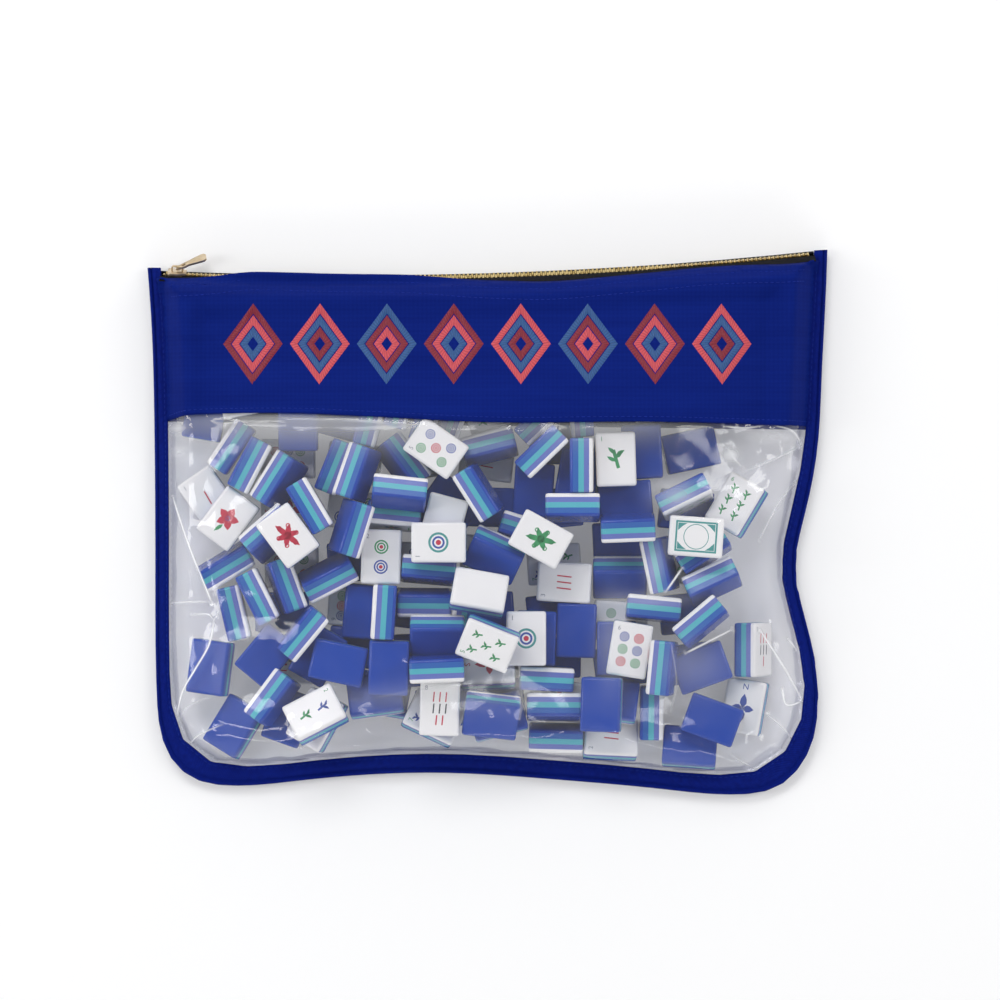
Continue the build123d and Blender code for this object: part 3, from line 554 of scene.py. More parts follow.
def makeCanvas():
    material, tree = newMaterial("dyedCanvas")
    place = addNode(tree, "ShaderNodeTexCoord").outputs["Object"]
    threads = {"Vector": place, "Scale": 1000 / canvas["threadMm"] / 20 * math.pi,
               "Distortion": 0.6, "Detail": 1.0, "Detail Scale": 3.0}
    rows, columns = [
        addNode(tree, "ShaderNodeTexWave", threads, wave_type="BANDS", bands_direction=way).outputs["Fac"]
        for way in "YX"]
    weave = mathNode(tree, "ADD", rows, columns)
    streak = addNode(tree, "ShaderNodeMapping", {"Vector": place, "Scale": (12.0, 160.0, 12.0)})
    slub = addNode(tree, "ShaderNodeTexNoise", {"Vector": streak.outputs[0], "Scale": 1.0, "Detail": 3.0})
    mixing = mathNode(tree, "MULTIPLY_ADD", weave, 0.16, slub.outputs["Fac"])
    ramp = addNode(tree, "ShaderNodeValToRGB", {"Fac": mixing})
    setRamp(ramp, [(0.3, linear(canvas["blue"])), (0.95, linear(canvas["pale"]))])
    bump = addNode(tree, "ShaderNodeBump", {"Height": mixing, "Strength": 0.5, "Distance": 0.25 * mm})
    finishPrincipled(tree, {"Base Color": ramp.outputs[0], "Roughness": canvas["roughness"],
                            "Specular IOR Level": 0.07, "Normal": bump.outputs[0]})
    return material


# Twill binding tape, woven: fine slanting ribs that run with the tape
twill = {"blue": "#05166a", "pale": "#0a2182", "ribMm": 1.3, "roughness": 0.75}


def makeTwill(name, blue, pale, rib, roughness, chevron=False):
    material, tree = newMaterial(name)
    place = addNode(tree, "ShaderNodeUVMap", uv_map="weave").outputs[0]
    parts = addNode(tree, "ShaderNodeSeparateXYZ", {0: place})
    across = parts.outputs[1]
    if chevron:
        across = mathNode(tree, "PINGPONG", across, 2.2)
    slant = mathNode(tree, "ADD", parts.outputs[0], across)
    ribs = mathNode(tree, "SINE", mathNode(tree, "MULTIPLY", slant, 2 * math.pi / rib))
    slub = addNode(tree, "ShaderNodeTexNoise", {"Vector": place, "Scale": 0.35, "Detail": 3.0})
    mixing = mathNode(tree, "MULTIPLY_ADD", ribs, 0.16, slub.outputs["Fac"])
    ramp = addNode(tree, "ShaderNodeValToRGB", {"Fac": mixing})
    setRamp(ramp, [(0.25, linear(blue)), (0.85, linear(pale))])
    bump = addNode(tree, "ShaderNodeBump", {"Height": ribs, "Strength": 0.35, "Distance": 0.2 * mm})
    finishPrincipled(tree, {"Base Color": ramp.outputs[0], "Roughness": roughness, "Specular IOR Level": 0.08,
                            "Normal": bump.outputs[0]})
    return material


# Plated or polished metal with fine wear; the default IOR stays
def makeMetal(name, colour, worn, roughness, grainMm):
    material, tree = newMaterial(name)
    place = addNode(tree, "ShaderNodeTexCoord").outputs["Object"]
    grain = addNode(tree, "ShaderNodeTexNoise", {"Vector": place, "Scale": 1000 / grainMm, "Detail": 4.0})
    tone = addNode(tree, "ShaderNodeValToRGB", {"Fac": grain.outputs["Fac"]})
    setRamp(tone, [(0.35, linear(worn)), (0.65, linear(colour))])
    rough = addNode(tree, "ShaderNodeMapRange", {"Value": grain.outputs["Fac"], "To Min": roughness - 0.06,
                                                 "To Max": roughness + 0.1})
    finishPrincipled(tree, {"Base Color": tone.outputs[0], "Metallic": 1.0, "Roughness": rough.outputs[0]})
    return material


# Cast acrylic in five glued sheets, tumbled smooth: crisp colour steps and a soft polish
acrylic = {
    "half": 6.6,  # half the height that the colours are spread over
    "layers": [("#1b47ab", -6.6), ("#3167b5", -4.8), ("#5ab9c6", -1.8), ("#6b7ac2", 1.2), ("#f8f7f6", 4.1)],
    "roughness": 0.22,
}


def makeAcrylic():
    material, tree = newMaterial("laminatedAcrylic")
    inTile = addNode(tree, "ShaderNodeAttribute", attribute_name="tileSpace")
    height = addNode(tree, "ShaderNodeSeparateXYZ", {0: inTile.outputs["Vector"]}).outputs[2]
    share = addNode(tree, "ShaderNodeMapRange", {
        "Value": height, "From Min": -acrylic["half"], "From Max": acrylic["half"]})
    ramp = addNode(tree, "ShaderNodeValToRGB", {"Fac": share.outputs[0]})
    setRamp(ramp, [((low + acrylic["half"]) / (2 * acrylic["half"]), linear(colour))
                   for colour, low in acrylic["layers"]])
    ramp.color_ramp.interpolation = "CONSTANT"
    swirl = addNode(tree, "ShaderNodeTexNoise", {"Vector": inTile.outputs["Vector"], "Scale": 0.35, "Detail": 3.0})
    rough = addNode(tree, "ShaderNodeMapRange", {
        "Value": swirl.outputs["Fac"], "To Min": acrylic["roughness"] - 0.08, "To Max": acrylic["roughness"] + 0.1})
    finishPrincipled(tree, {"Base Color": ramp.outputs[0], "Roughness": rough.outputs[0], "IOR": 1.49,
                            "Specular IOR Level": 0.35})
    return material


# Baked enamel ink in the engraved marks: satin, a touch uneven
def makeInk():
    material, tree = newMaterial("tileInk")
    ink = addNode(tree, "ShaderNodeAttribute", attribute_name="ink")
    finishPrincipled(tree, {"Base Color": ink.outputs["Color"], "Roughness": 0.45})
    return material


# Rayon embroidery thread in satin stitch: silky, ridged across each bar
def makeThread():
    material, tree = newMaterial("satinStitchThread")
    place = addNode(tree, "ShaderNodeUVMap", uv_map="weave").outputs[0]
    parts = addNode(tree, "ShaderNodeSeparateXYZ", {0: place})
    lean = mathNode(tree, "MULTIPLY_ADD", parts.outputs[1], 0.25, parts.outputs[0])
    # threads are 0.4 mm apart, drawn in bundles of 1.5 mm so that they show
    ridges = mathNode(tree, "SINE", mathNode(tree, "MULTIPLY", lean, 2 * math.pi / 1.5))
    bump = addNode(tree, "ShaderNodeBump", {"Height": ridges, "Strength": 0.4, "Distance": 0.2 * mm})
    colour = addNode(tree, "ShaderNodeAttribute", attribute_name="thread")
    # painted shade in the grooves between thread ridges and painted sheen on their crowns
    paintedRidgeShade = addNode(tree, "ShaderNodeMapRange", {"Value": ridges, "From Min": -1.0, "To Min": 0.72, "To Max": 1.08})
    tone = addNode(tree, "ShaderNodeMix", {0: 1.0, 6: colour.outputs["Color"], 7: paintedRidgeShade.outputs[0]},
                   data_type="RGBA", blend_type="MULTIPLY")
    finishPrincipled(tree, {"Base Color": tone.outputs[2], "Roughness": 0.5, "Specular IOR Level": 0.4,
                            "Sheen Weight": 0.1, "Normal": bump.outputs[0]})
    return material


vinylFilm = makeVinyl()
bandCanvas = makeCanvas()
bindingTwill = makeTwill("bindingTwill", twill["blue"], twill["pale"], twill["ribMm"], twill["roughness"])
# polyester zip tape: the same slanting weave turned back on itself
zipTwill = makeTwill("herringboneTape", "#0b0b0f", "#1d1d24", 1.2, 0.75, chevron=True)
brass = makeMetal("polishedBrass", "#e6d096", "#b59a5e", 0.3, 3.0)
champagne = makeMetal("champagnePlating", "#e2d0b4", "#cdb895", 0.36, 6.0)
tileAcrylic = makeAcrylic()
tileInk = makeInk()
satinThread = makeThread()
print("materials made")

# Film, front: from the tucked edge up to a lap under the band
film = {"spacing": 1.9, "wall": 0.35, "lap": 7.0, "under": 1.1, "foldWhite": 1.7}
outline = outlineBelow(band["lowEdge"], film["lap"])
points, faces = fillOutline(outline, film["spacing"], creaseLines)
lift, white = liftOfCreases(points)
bandLine = splineThrough(band["lowEdge"], 240)
overlap = points[:, 1] - np.interp(points[:, 0], bandLine[:, 0], bandLine[:, 1])
covered = np.clip((overlap + 3.0) / 3.0, 0, 1)
height = frontLie(points[:, 0], points[:, 1])
edgeFade = np.clip(distanceTo(points, resample(rimInner, 120)) / 6.0, 0, 1) * (1 - covered)
height = height + lift * edgeFade - film["under"] * covered
frontFilm = makeObject("frontFilm", np.column_stack([points, height]), faces, vinylFilm)
# the film's white: fold lines, partly stress whitening and partly painted glints, and the painted reflection patches
whiteFoldsAndPaintedGlare = np.maximum(white * film["foldWhite"], cloudiness(points)) * (1 - covered * 0.9)
setAttribute(frontFilm.data, "foldWhite", "FLOAT", whiteFoldsAndPaintedGlare)
frontFilm = thicken(frontFilm, film["wall"])
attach(frontFilm, "bag")
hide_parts("front_vinyl_panel")
# the allowances for swell and hem are estimates, here and at the front band
print("front film:", len(faces), "faces")

# Film, back: lies on the table
outline = outlineBelow(band["backLowEdge"], film["lap"])
points, faces = fillOutline(outline, 4.0)
height = sampleField(backHeight, points[:, 0], points[:, 1]) + 0.35
backFilm = makeObject("backFilm", np.column_stack([points, height]), faces, vinylFilm)
setAttribute(backFilm.data, "foldWhite", "FLOAT", np.zeros(len(points)))
backFilm = thicken(backFilm, film["wall"])
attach(backFilm, "bag")
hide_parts("back_vinyl_panel")

# Bands, front and back: the front one has dips along its stitch rows
outline, lowLine = outlineAbove(band["lowEdge"], mouthEdge)
hemLines = [zipPoint(mouthX, mouthDrop + row)[6:-6] for row in band["hemRows"]]
lowLines = [lowLine + [0, row] for row in band["lowRows"]]
steepLines = [zipPoint(mouthX, mouthDrop + row)[8:-8] for row in np.arange(1.2, 14.0, 1.2)]
points, faces = fillOutline(outline, band["spacing"], steepLines)
height = bandLie(points[:, 0], points[:, 1])
dips = rowsDip(points, hemLines + lowLines, band["rowDip"], band["rowWidth"])
puff = 0.35 * np.exp(-((distanceTo(points, hemLines[0] + [0, 2.0]) / 2.0) ** 2))
bandHeight = height - dips + puff
frontBand = makeObject("frontBand", np.column_stack([points, bandHeight]), faces, bandCanvas)
frontBand = thicken(frontBand, band["thickness"])
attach(frontBand, "bag")
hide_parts("front_band")

outline, _ = outlineAbove(band["backLowEdge"], backMouthEdge)
points, faces = fillOutline(outline, 4.0)
height = sampleField(backHeight, points[:, 0], points[:, 1]) + band["thickness"]
backBand = makeObject("backBand", np.column_stack([points, height]), faces, bandCanvas)
backBand = thicken(backBand, band["thickness"])
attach(backBand, "bag")
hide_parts("back_band")
print("bands made")

# Binding: a twill tape folded over the rim, fuller at the fold, drawn down at its stitch row
binding = {"stations": 420, "leastWidth": 7.6, "fold": 1.5, "stitchIn": 1.7, "dip": 0.28, "puff": 0.3}
outer = resample(rimOuter, binding["stations"])
inner = resample(rimInner, binding["stations"])
# the tape is nowhere narrower than this, square to the middle of the rim; the wider bottom stays
rimMiddle = (outer + inner) / 2
tangent = np.gradient(rimMiddle, axis=0)
square = np.stack([tangent[:, 1], -tangent[:, 0]], axis=1) / np.linalg.norm(tangent, axis=1)[:, None]
square *= np.sign((square * (outer - inner)).sum(axis=1))[:, None]
ends = np.clip(np.minimum(np.arange(len(outer)), np.arange(len(outer))[::-1]) / 8, 0, 1)[:, None]
ownWidth = ((outer - inner) * square).sum(axis=1)
added = np.clip(binding["leastWidth"] - ownWidth, 0, None)[:, None] / 2 * ends
outer = outer + square * added
inner = inner - square * added
print("binding width mm:", ownWidth.min().round(1), "to", ownWidth.max().round(1),
      "added up to", (added.max() * 2).round(1))
middleZ = (bindingTop + bindingLow) / 2
halfHigh = (bindingTop - bindingLow) / 2
# the round of the fold: share of its depth, height as a share of the half thickness
foldAngles = [math.radians(angle) for angle in np.linspace(-90, -270, 7)]
profile = [(1 + math.cos(a), -math.sin(a)) for a in foldAngles]
points, texture = [], []
along = 0.0
for k in range(binding["stations"]):
    if k:
        along += np.linalg.norm(outer[k] - outer[k - 1])
    run = inner[k] - outer[k]
    width = np.linalg.norm(run)
    run = run / width
    section = [(binding["fold"] * c, middleZ + halfHigh * s) for c, s in profile]
    upper = [(width * 0.4, bindingTop + binding["puff"]), (width - binding["stitchIn"] - 1.0, bindingTop + 0.1),
             (width - binding["stitchIn"], bindingTop - binding["dip"]),
             (width - binding["stitchIn"] + 0.9, bindingTop + 0.05), (width - 0.25, bindingTop - 0.05),
             (width, bindingTop - 0.35)]
    lower = [(t, 2 * middleZ - z) for t, z in reversed(upper)]
    section = section + upper + lower
    travelled = 0.0
    for s, (t, z) in enumerate(section):
        if s:
            travelled += math.hypot(t - section[s - 1][0], z - section[s - 1][1])
        points.append((*(outer[k] + run * t), z))
        texture.append((along, travelled))
sectionSize = len(section)
faces = []
for k in range(binding["stations"] - 1):
    for s in range(sectionSize):
        a, b = k * sectionSize + s, k * sectionSize + (s + 1) % sectionSize
        faces.append((a, a + sectionSize, b + sectionSize, b))
faces += [list(range(sectionSize)), list(range(len(points) - 1, len(points) - 1 - sectionSize, -1))]


def setWeave(mesh, perPoint):
    layer = mesh.uv_layers.new(name="weave")
    order = np.empty(len(mesh.loops), int)
    mesh.loops.foreach_get("vertex_index", order)
    layer.data.foreach_set("uv", np.asarray(perPoint, np.float32)[order].ravel())


def outward(piece):
    shape = bmesh.new()
    shape.from_mesh(piece.data)
    bmesh.ops.recalc_face_normals(shape, faces=shape.faces)
    shape.to_mesh(piece.data)
    shape.free()
    return piece


edgeBinding = outward(makeObject("edgeBinding", points, faces, bindingTwill))
setWeave(edgeBinding.data, texture)
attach(edgeBinding, "bag")
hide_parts("edge_binding")
print("binding made")

# Lockstitches: each row is a line that a tree lays short rounded stitches along
stitch = {"pitch": 3.1, "length": 2.3, "width": 0.5, "height": 0.32}


def makeStitchTree():
    tree, inputs, output = newTree("stitchRow", {"Pitch": "Float", "Length": "Float", "Width": "Float",
                                                 "Height": "Float", "Thread": "Material"})
    path = addNode(tree, "GeometryNodeMeshToCurve", {"Mesh": inputs.outputs["Geometry"]})
    beads = addNode(tree, "GeometryNodeResampleCurve", {"Curve": path.outputs[0]}, mode="LENGTH")
    tree.links.new(inputs.outputs["Pitch"], beads.inputs["Length"])
    tangent = addNode(tree, "GeometryNodeInputTangent")
    turn = addNode(tree, "FunctionNodeAlignRotationToVector", {"Vector": tangent.outputs[0]}, axis="X")
    ball = addNode(tree, "GeometryNodeMeshUVSphere", {"Segments": 8, "Rings": 4, "Radius": 0.5})
    size = addNode(tree, "ShaderNodeCombineXYZ", {0: inputs.outputs["Length"], 1: inputs.outputs["Width"],
                                                  2: inputs.outputs["Height"]})
    spots = addNode(tree, "GeometryNodeInstanceOnPoints", {
        "Points": beads.outputs[0], "Instance": ball.outputs[0], "Rotation": turn.outputs[0],
        "Scale": size.outputs[0]})
    tree.links.new(finishedCopies(tree, spots, inputs.outputs["Thread"]), output.inputs[0])
    return tree


stitchTree = makeStitchTree()


def sewRows(name, rows, colour):
    points, edges = [], []
    for row in rows:
        start = len(points)
        points += [tuple(p) for p in row]
        edges += [(i, i + 1) for i in range(start, len(points) - 1)]
    carrier = makeObject(name + "Line", points, [], edges=edges)
    piece = growPiece(carrier, stitchTree, {
        "Pitch": stitch["pitch"] * mm, "Length": stitch["length"] * mm, "Width": stitch["width"] * mm,
        "Height": stitch["height"] * mm, "Thread": colour}, name)
    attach(piece, "bag")
    return piece


# Mercerised cotton sewing thread: a shade lighter than the cloth that it holds
threadBlue = makeMetal("sewingThread", "#142c92", "#0f247a", 0.7, 2.0)
for setting, value in (("Metallic", 0.0), ("Specular IOR Level", 0.15)):
    threadBlue.node_tree.nodes["Principled BSDF"].inputs[setting].default_value = value

rows = []
for line in hemLines + lowLines:
    line = resample(line, 300)
    rows.append(np.column_stack([line, bandLie(line[:, 0], line[:, 1]) - band["rowDip"] + 0.12]))
sewRows("bandStitches", rows, threadBlue)
run = outer - inner
run = run / np.linalg.norm(run, axis=1)[:, None]
seam = inner + run * binding["stitchIn"]
sewRows("bindingStitches", [np.column_stack([seam, np.full(len(seam), bindingTop - binding["dip"] + 0.12)])[3:-3]],
        threadBlue)
print("stitches sewn")

# Embroidery: a plain border of nested lozenges in satin stitch, three colours in turn
embroidery = {
    "count": 8, "pitch": 37.0, "centerY": 98.5, "halfWide": 16.5, "halfHigh": 22.5, "bar": 3.3, "gap": 0.5,
    "colours": ["#84182f", "#cf4c56", "#27558f"], "raise": 0.45,
}


def addBar(parts, ends, nextEnds, colour):
    # a bar between two mitred ends, each given as its outer and inner corner
    columns, lanes = 12, 4
    start = len(parts["points"])
    (a, b), (c, d) = ends, nextEnds
    length = np.linalg.norm((c + d) / 2 - (a + b) / 2)
    for i in range(columns + 1):
        along = i / columns
        for j in range(lanes + 1):
            across = j / lanes
            p = (a * (1 - across) + b * across) * (1 - along) + (c * (1 - across) + d * across) * along
            crown = math.sin(math.pi * across) ** 0.5 if 0 < across < 1 else 0.0
            parts["points"].append((p[0], p[1], crown))
            parts["weave"].append((along * length, across * embroidery["bar"]))
            parts["thread"].append(colour)
    for i in range(columns):
        for j in range(lanes):
            k = start + i * (lanes + 1) + j
            parts["faces"].append((k, k + lanes + 1, k + lanes + 2, k + 1))


parts = {"points": [], "faces": [], "weave": [], "thread": []}
for unit in range(embroidery["count"]):
    centre = np.array([(unit - (embroidery["count"] - 1) / 2) * embroidery["pitch"], embroidery["centerY"]])
    corners = np.array([(1, 0), (0, 1), (-1, 0), (0, -1)], float) * (embroidery["halfWide"], embroidery["halfHigh"])
    halves = embroidery["halfWide"], embroidery["halfHigh"]
    apothem = halves[0] * halves[1] / math.hypot(*halves)
    inset = 0.0
    for ring in range(3):
        colour = linear(embroidery["colours"][(ring + unit) % 3])
        shareOut = 1 - inset / apothem
        shareIn = 1 - (inset + embroidery["bar"]) / apothem
        for i in range(4):
            here, there = corners[i], corners[(i + 1) % 4]
            addBar(parts, (centre + here * shareOut, centre + here * shareIn),
                   (centre + there * shareOut, centre + there * shareIn), colour)
        inset += embroidery["bar"] + embroidery["gap"]
points = np.array(parts["points"])
ground = frontLie(points[:, 0], points[:, 1]) + 0.35
points[:, 2] = ground + 0.02 + points[:, 2] * embroidery["raise"]
borderEmbroidery = makeObject("borderEmbroidery", points, parts["faces"], satinThread)
setWeave(borderEmbroidery.data, parts["weave"])
setAttribute(borderEmbroidery.data, "thread", "FLOAT_COLOR", parts["thread"])
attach(borderEmbroidery, "bag")
print("embroidery made")

# Zip teeth: a leg on the tape and a rounded head that meshes with the row across
teeth = {
    "leg": 1.0, "legLong": 2.3, "deep": 2.0, "head": 0.72, "reach": 0.55,
    "cadLean": 70.0,
    # the chain rolls toward the front where the mouth sags, in degrees from lying flat, from left to right
    "lean": [(-190, 70), (-75, 70), (-25, 44), (75, 42), (115, 70), (190, 70)],
}


def makeTeethTree():
    tree, inputs, output = newTree("zipRow", {"Leg": "Float", "Leg Length": "Float", "Depth": "Float",
                                              "Head": "Float", "Reach": "Float", "Metal": "Material"})
    legSize = addNode(tree, "ShaderNodeCombineXYZ", {0: inputs.outputs["Leg"], 1: inputs.outputs["Leg Length"],
                                                     2: inputs.outputs["Depth"]})
    leg = addNode(tree, "GeometryNodeMeshCube", {"Size": legSize.outputs[0]})
    half = mathNode(tree, "MULTIPLY", inputs.outputs["Leg Length"], 0.5)
    legPlace = addNode(tree, "ShaderNodeCombineXYZ", {1: half})
    legSet = addNode(tree, "GeometryNodeTransform", {"Geometry": leg.outputs[0], "Translation": legPlace.outputs[0]})
    ball = addNode(tree, "GeometryNodeMeshUVSphere", {"Segments": 8, "Rings": 5, "Radius": 1.0})
    tall = mathNode(tree, "MULTIPLY", inputs.outputs["Depth"], 0.55)
    headSize = addNode(tree, "ShaderNodeCombineXYZ", {0: inputs.outputs["Head"], 1: inputs.outputs["Head"],
                                                      2: tall})
    back = mathNode(tree, "MULTIPLY", inputs.outputs["Reach"], -0.3)
    headPlace = addNode(tree, "ShaderNodeCombineXYZ", {1: back})
    head = addNode(tree, "GeometryNodeTransform", {"Geometry": ball.outputs[0], "Translation": headPlace.outputs[0],
                                                   "Scale": headSize.outputs[0]})
    smoothHead = addNode(tree, "GeometryNodeSetShadeSmooth", {"Geometry": head.outputs[0], "Shade Smooth": True})
    tooth = addNode(tree, "GeometryNodeJoinGeometry")
    tree.links.new(smoothHead.outputs[0], tooth.inputs[0])
    tree.links.new(legSet.outputs[0], tooth.inputs[0])
    turn = addNode(tree, "GeometryNodeInputNamedAttribute", {"Name": "turn"}, data_type="QUATERNION")
    spots = addNode(tree, "GeometryNodeInstanceOnPoints", {
        "Points": inputs.outputs["Geometry"], "Instance": tooth.outputs[0],
        "Rotation": turn.outputs["Attribute"]})
    tree.links.new(finishedCopies(tree, spots, inputs.outputs["Metal"]), output.inputs[0])
    return tree


# Loose parts of a node: each part's own corner points
def looseParts(name):
    triangles = nodeTriangles([name]).round(4)
    owner = {}

    def rootOf(key):
        while owner[key] != key:
            owner[key] = owner[owner[key]]
            key = owner[key]
        return key

    for corners in triangles:
        keys = [tuple(p) for p in corners]
        for key in keys:
            owner.setdefault(key, key)
        for key in keys[1:]:
            owner[rootOf(key)] = rootOf(keys[0])
    groups = {}
    for index, corners in enumerate(triangles):
        groups.setdefault(rootOf(tuple(corners[0])), []).append(index)
    return [triangles[indices] for indices in groups.values()]


teethTree = makeTeethTree()
chainBoxes = [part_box(node) for node in ("zip_teeth_front", "zip_teeth_back")]
chainZ = (min(low.z for low, high in chainBoxes) + max(high.z for low, high in chainBoxes)) / 2 / mm


# Directions of the chain at an angle round the far axis: along it, across its rows, and out of it
def chainFrame(angle, lean):
    away = np.array([math.sin(angle), -math.cos(angle), 0])
    alongChain = np.array([math.cos(angle), math.sin(angle), 0])
    normal = away * -math.sin(lean) + np.array([0, 0, math.cos(lean)])
    return away, alongChain, np.cross(normal, alongChain), normal


leanStops = np.array(teeth["lean"])
for node, name, side in (("zip_teeth_front", "teethFront", -1), ("zip_teeth_back", "teethBack", 1)):
    spots, turns = [], []
    for part in looseParts(node):
        corners = np.unique(part.reshape(-1, 3), axis=0)
        centre = (corners.min(axis=0) + corners.max(axis=0)) / 2
        angle = math.atan2(centre[0] - farAxis[0], farAxis[1] - centre[1])
        away, alongChain, across, normal = chainFrame(angle, math.radians(teeth["cadLean"]))
        reach = (corners - centre) @ across
        middle = np.array([*farAxis, 0]) + away * chainRadius + [0, 0, chainZ]
        headEnd = centre - across * side * (np.ptp(reach) / 2 - 0.35) - middle
        lean = math.radians(np.interp(centre[0], leanStops[:, 0], leanStops[:, 1]))
        away, alongChain, rolled, out = chainFrame(angle, lean)
        spots.append(middle + alongChain * (headEnd @ alongChain) + rolled * (headEnd @ across)
                     + out * (headEnd @ normal))
        frameTurn = Matrix((alongChain, rolled * side, np.cross(alongChain, rolled * side))).transposed()
        turns.append(list(frameTurn.to_quaternion()))
    carrier = makeObject(name + "Spots", spots, [])
    setAttribute(carrier.data, "turn", "QUATERNION", turns)
    piece = growPiece(carrier, teethTree, {
        "Leg": teeth["leg"] * mm, "Leg Length": teeth["legLong"] * mm, "Depth": teeth["deep"] * mm,
        "Head": teeth["head"] * mm, "Reach": teeth["reach"] * mm, "Metal": brass}, name)
    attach(piece, "bag")
    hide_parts(node)
print("zip teeth made")


# Rigid pieces from their CAD solids, merged and given soft edges
def softEdged(node, name, material, width):
    mesh = frame["nodes"][node].data.copy()
    shape = bmesh.new()
    shape.from_mesh(mesh)
    bmesh.ops.remove_doubles(shape, verts=shape.verts, dist=1e-6)
    bmesh.ops.dissolve_limit(shape, angle_limit=math.radians(2), verts=shape.verts, edges=shape.edges)
    shape.to_mesh(mesh)
    shape.free()
    mesh.materials.clear()
    mesh.materials.append(material)
    piece = bpy.data.objects.new(name, mesh)
    scene.collection.objects.link(piece)
    bevel = piece.modifiers.new("softEdge", "BEVEL")
    bevel.width = width * mm
    bevel.segments = 2
    bevel.limit_method = "ANGLE"
    bevel.angle_limit = math.radians(30)
    piece = freeze(piece, name)
    piece.data.polygons.foreach_set("use_smooth", [True] * len(piece.data.polygons))
    piece.data.set_sharp_from_angle(angle=math.radians(40))
    return piece


# The plate is turned on its neck, so that its face looks up
puller = {"neckFrom": 3.6, "neckTo": 8.0, "turn": 24.0, "lift": 1.1}


def turnNeck(piece):
    joint = next(j for j in frame["joints"] if j["name"] == "puller_hinge")
    hinge, axis = np.array(joint["pos_m"]), np.array(joint["axis"])
    points = np.array([v.co for v in piece.data.vertices])
    far = points[np.argsort(-np.linalg.norm(points - hinge, axis=1))[:12]].mean(axis=0)
    along = (far - hinge) / np.linalg.norm(far - hinge)
    outwards = np.cross(axis, along)
    outwards *= mm * puller["lift"] * np.sign(outwards[1])
    middle = points.mean(axis=0)
    middle = middle - along * ((middle - hinge) @ along)
    neck = puller["neckTo"] - puller["neckFrom"]
    for vertex, point in zip(piece.data.vertices, points):
        share = np.clip(((point - hinge) @ along / mm - puller["neckFrom"]) / neck, 0, 1)
        turn = Matrix.Rotation(math.radians(puller["turn"]) * share * share * (3 - 2 * share), 3, Vector(along))
        foot = middle + along * ((point - middle) @ along)
        vertex.co = Vector(foot + outwards * share * share) + turn @ Vector(point - foot)


for node, name, body, width in (
        ("slider_body", "sliderBody", "slider", 0.2), ("slider_crown", "sliderCrown", "slider", 0.25),
        ("zip_puller", "zipPuller", "puller", 0.3)):
    piece = softEdged(node, name, champagne, width)
    if node == "zip_puller":
        turnNeck(piece)
    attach(piece, body)
    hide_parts(node)

for node in ("zip_tape_front", "zip_tape_back"):
    mesh = frame["nodes"][node].data
    points = np.array([v.co for v in mesh.vertices]) / mm
    setWeave(mesh, np.column_stack([points[:, 0], points[:, 2] * 1.4 - points[:, 1]]))
    mesh.materials.clear()
    mesh.materials.append(zipTwill)
print("slider, puller and tapes made")

# Tile prints: plain traditional marks of a set, drawn flat on the face
inks = {"red": "#c9304a", "green": "#3f9a63", "blue": "#3c55a8",
        "teal": "#4a9a97", "grey": "#8b8f9c", "black": "#33363f"}
printing = {"above": 0.03, "index": 3.6, "ringSides": 24}
glyphs = {}


def glyphShape(text):
    if text not in glyphs:
        curve = bpy.data.curves.new("glyph", "FONT")
        curve.body = text
        curve.align_x = "CENTER"
        curve.align_y = "CENTER"
        curve.resolution_u = 2
        holder = bpy.data.objects.new("glyph", curve)
        scene.collection.objects.link(holder)
        mesh = freeze(holder, "glyph")
        glyphs[text] = (np.array([v.co[:2] for v in mesh.data.vertices]),
                        [tuple(p.vertices) for p in mesh.data.polygons])
        bpy.data.objects.remove(mesh)
    return glyphs[text]


class Print:
    def __init__(self):
        self.points, self.faces, self.colours = [], [], []

    def polygon(self, corners, colour):
        start = len(self.points)
        self.points += [tuple(c) for c in corners]
        self.faces.append(tuple(range(start, len(self.points))))
        self.colours.append(linear(inks[colour]))

    def glyph(self, text, place, size, colour):
        corners, faces = glyphShape(text)
        start = len(self.points)
        self.points += [tuple(c * size + place) for c in corners]
        self.faces += [tuple(start + i for i in face) for face in faces]
        self.colours += [linear(inks[colour])] * len(faces)

    def ring(self, place, outerR, innerR, colour):
        sides = printing["ringSides"]
        angles = np.linspace(0, 2 * math.pi, sides, endpoint=False)
        rim = [np.array([math.cos(a), math.sin(a)]) for a in angles]
        if innerR <= 0:
            self.polygon([place + outerR * r for r in rim], colour)
            return
        for a, b in zip(rim, rim[1:] + rim[:1]):
            self.polygon([place + outerR * a, place + outerR * b, place + innerR * b, place + innerR * a], colour)

    def turned(self, corners, place, turn, colour):
        c, s = math.cos(math.radians(turn)), math.sin(math.radians(turn))
        self.polygon([(place[0] + u * c - v * s, place[1] + u * s + v * c) for u, v in corners], colour)

    def bar(self, place, wide, high, turn, colour):
        x, y = wide / 2, high / 2
        self.turned([(-x, -y), (x, -y), (x, y), (0, y), (-x, y)], place, turn, colour)

    def leaf(self, place, wide, high, turn, colour):
        corners = [(0, 0), (wide * 0.42, high * 0.35), (wide * 0.36, high * 0.65), (0, high),
                   (-wide * 0.36, high * 0.65), (-wide * 0.42, high * 0.35)]
        self.turned(corners, place, turn, colour)


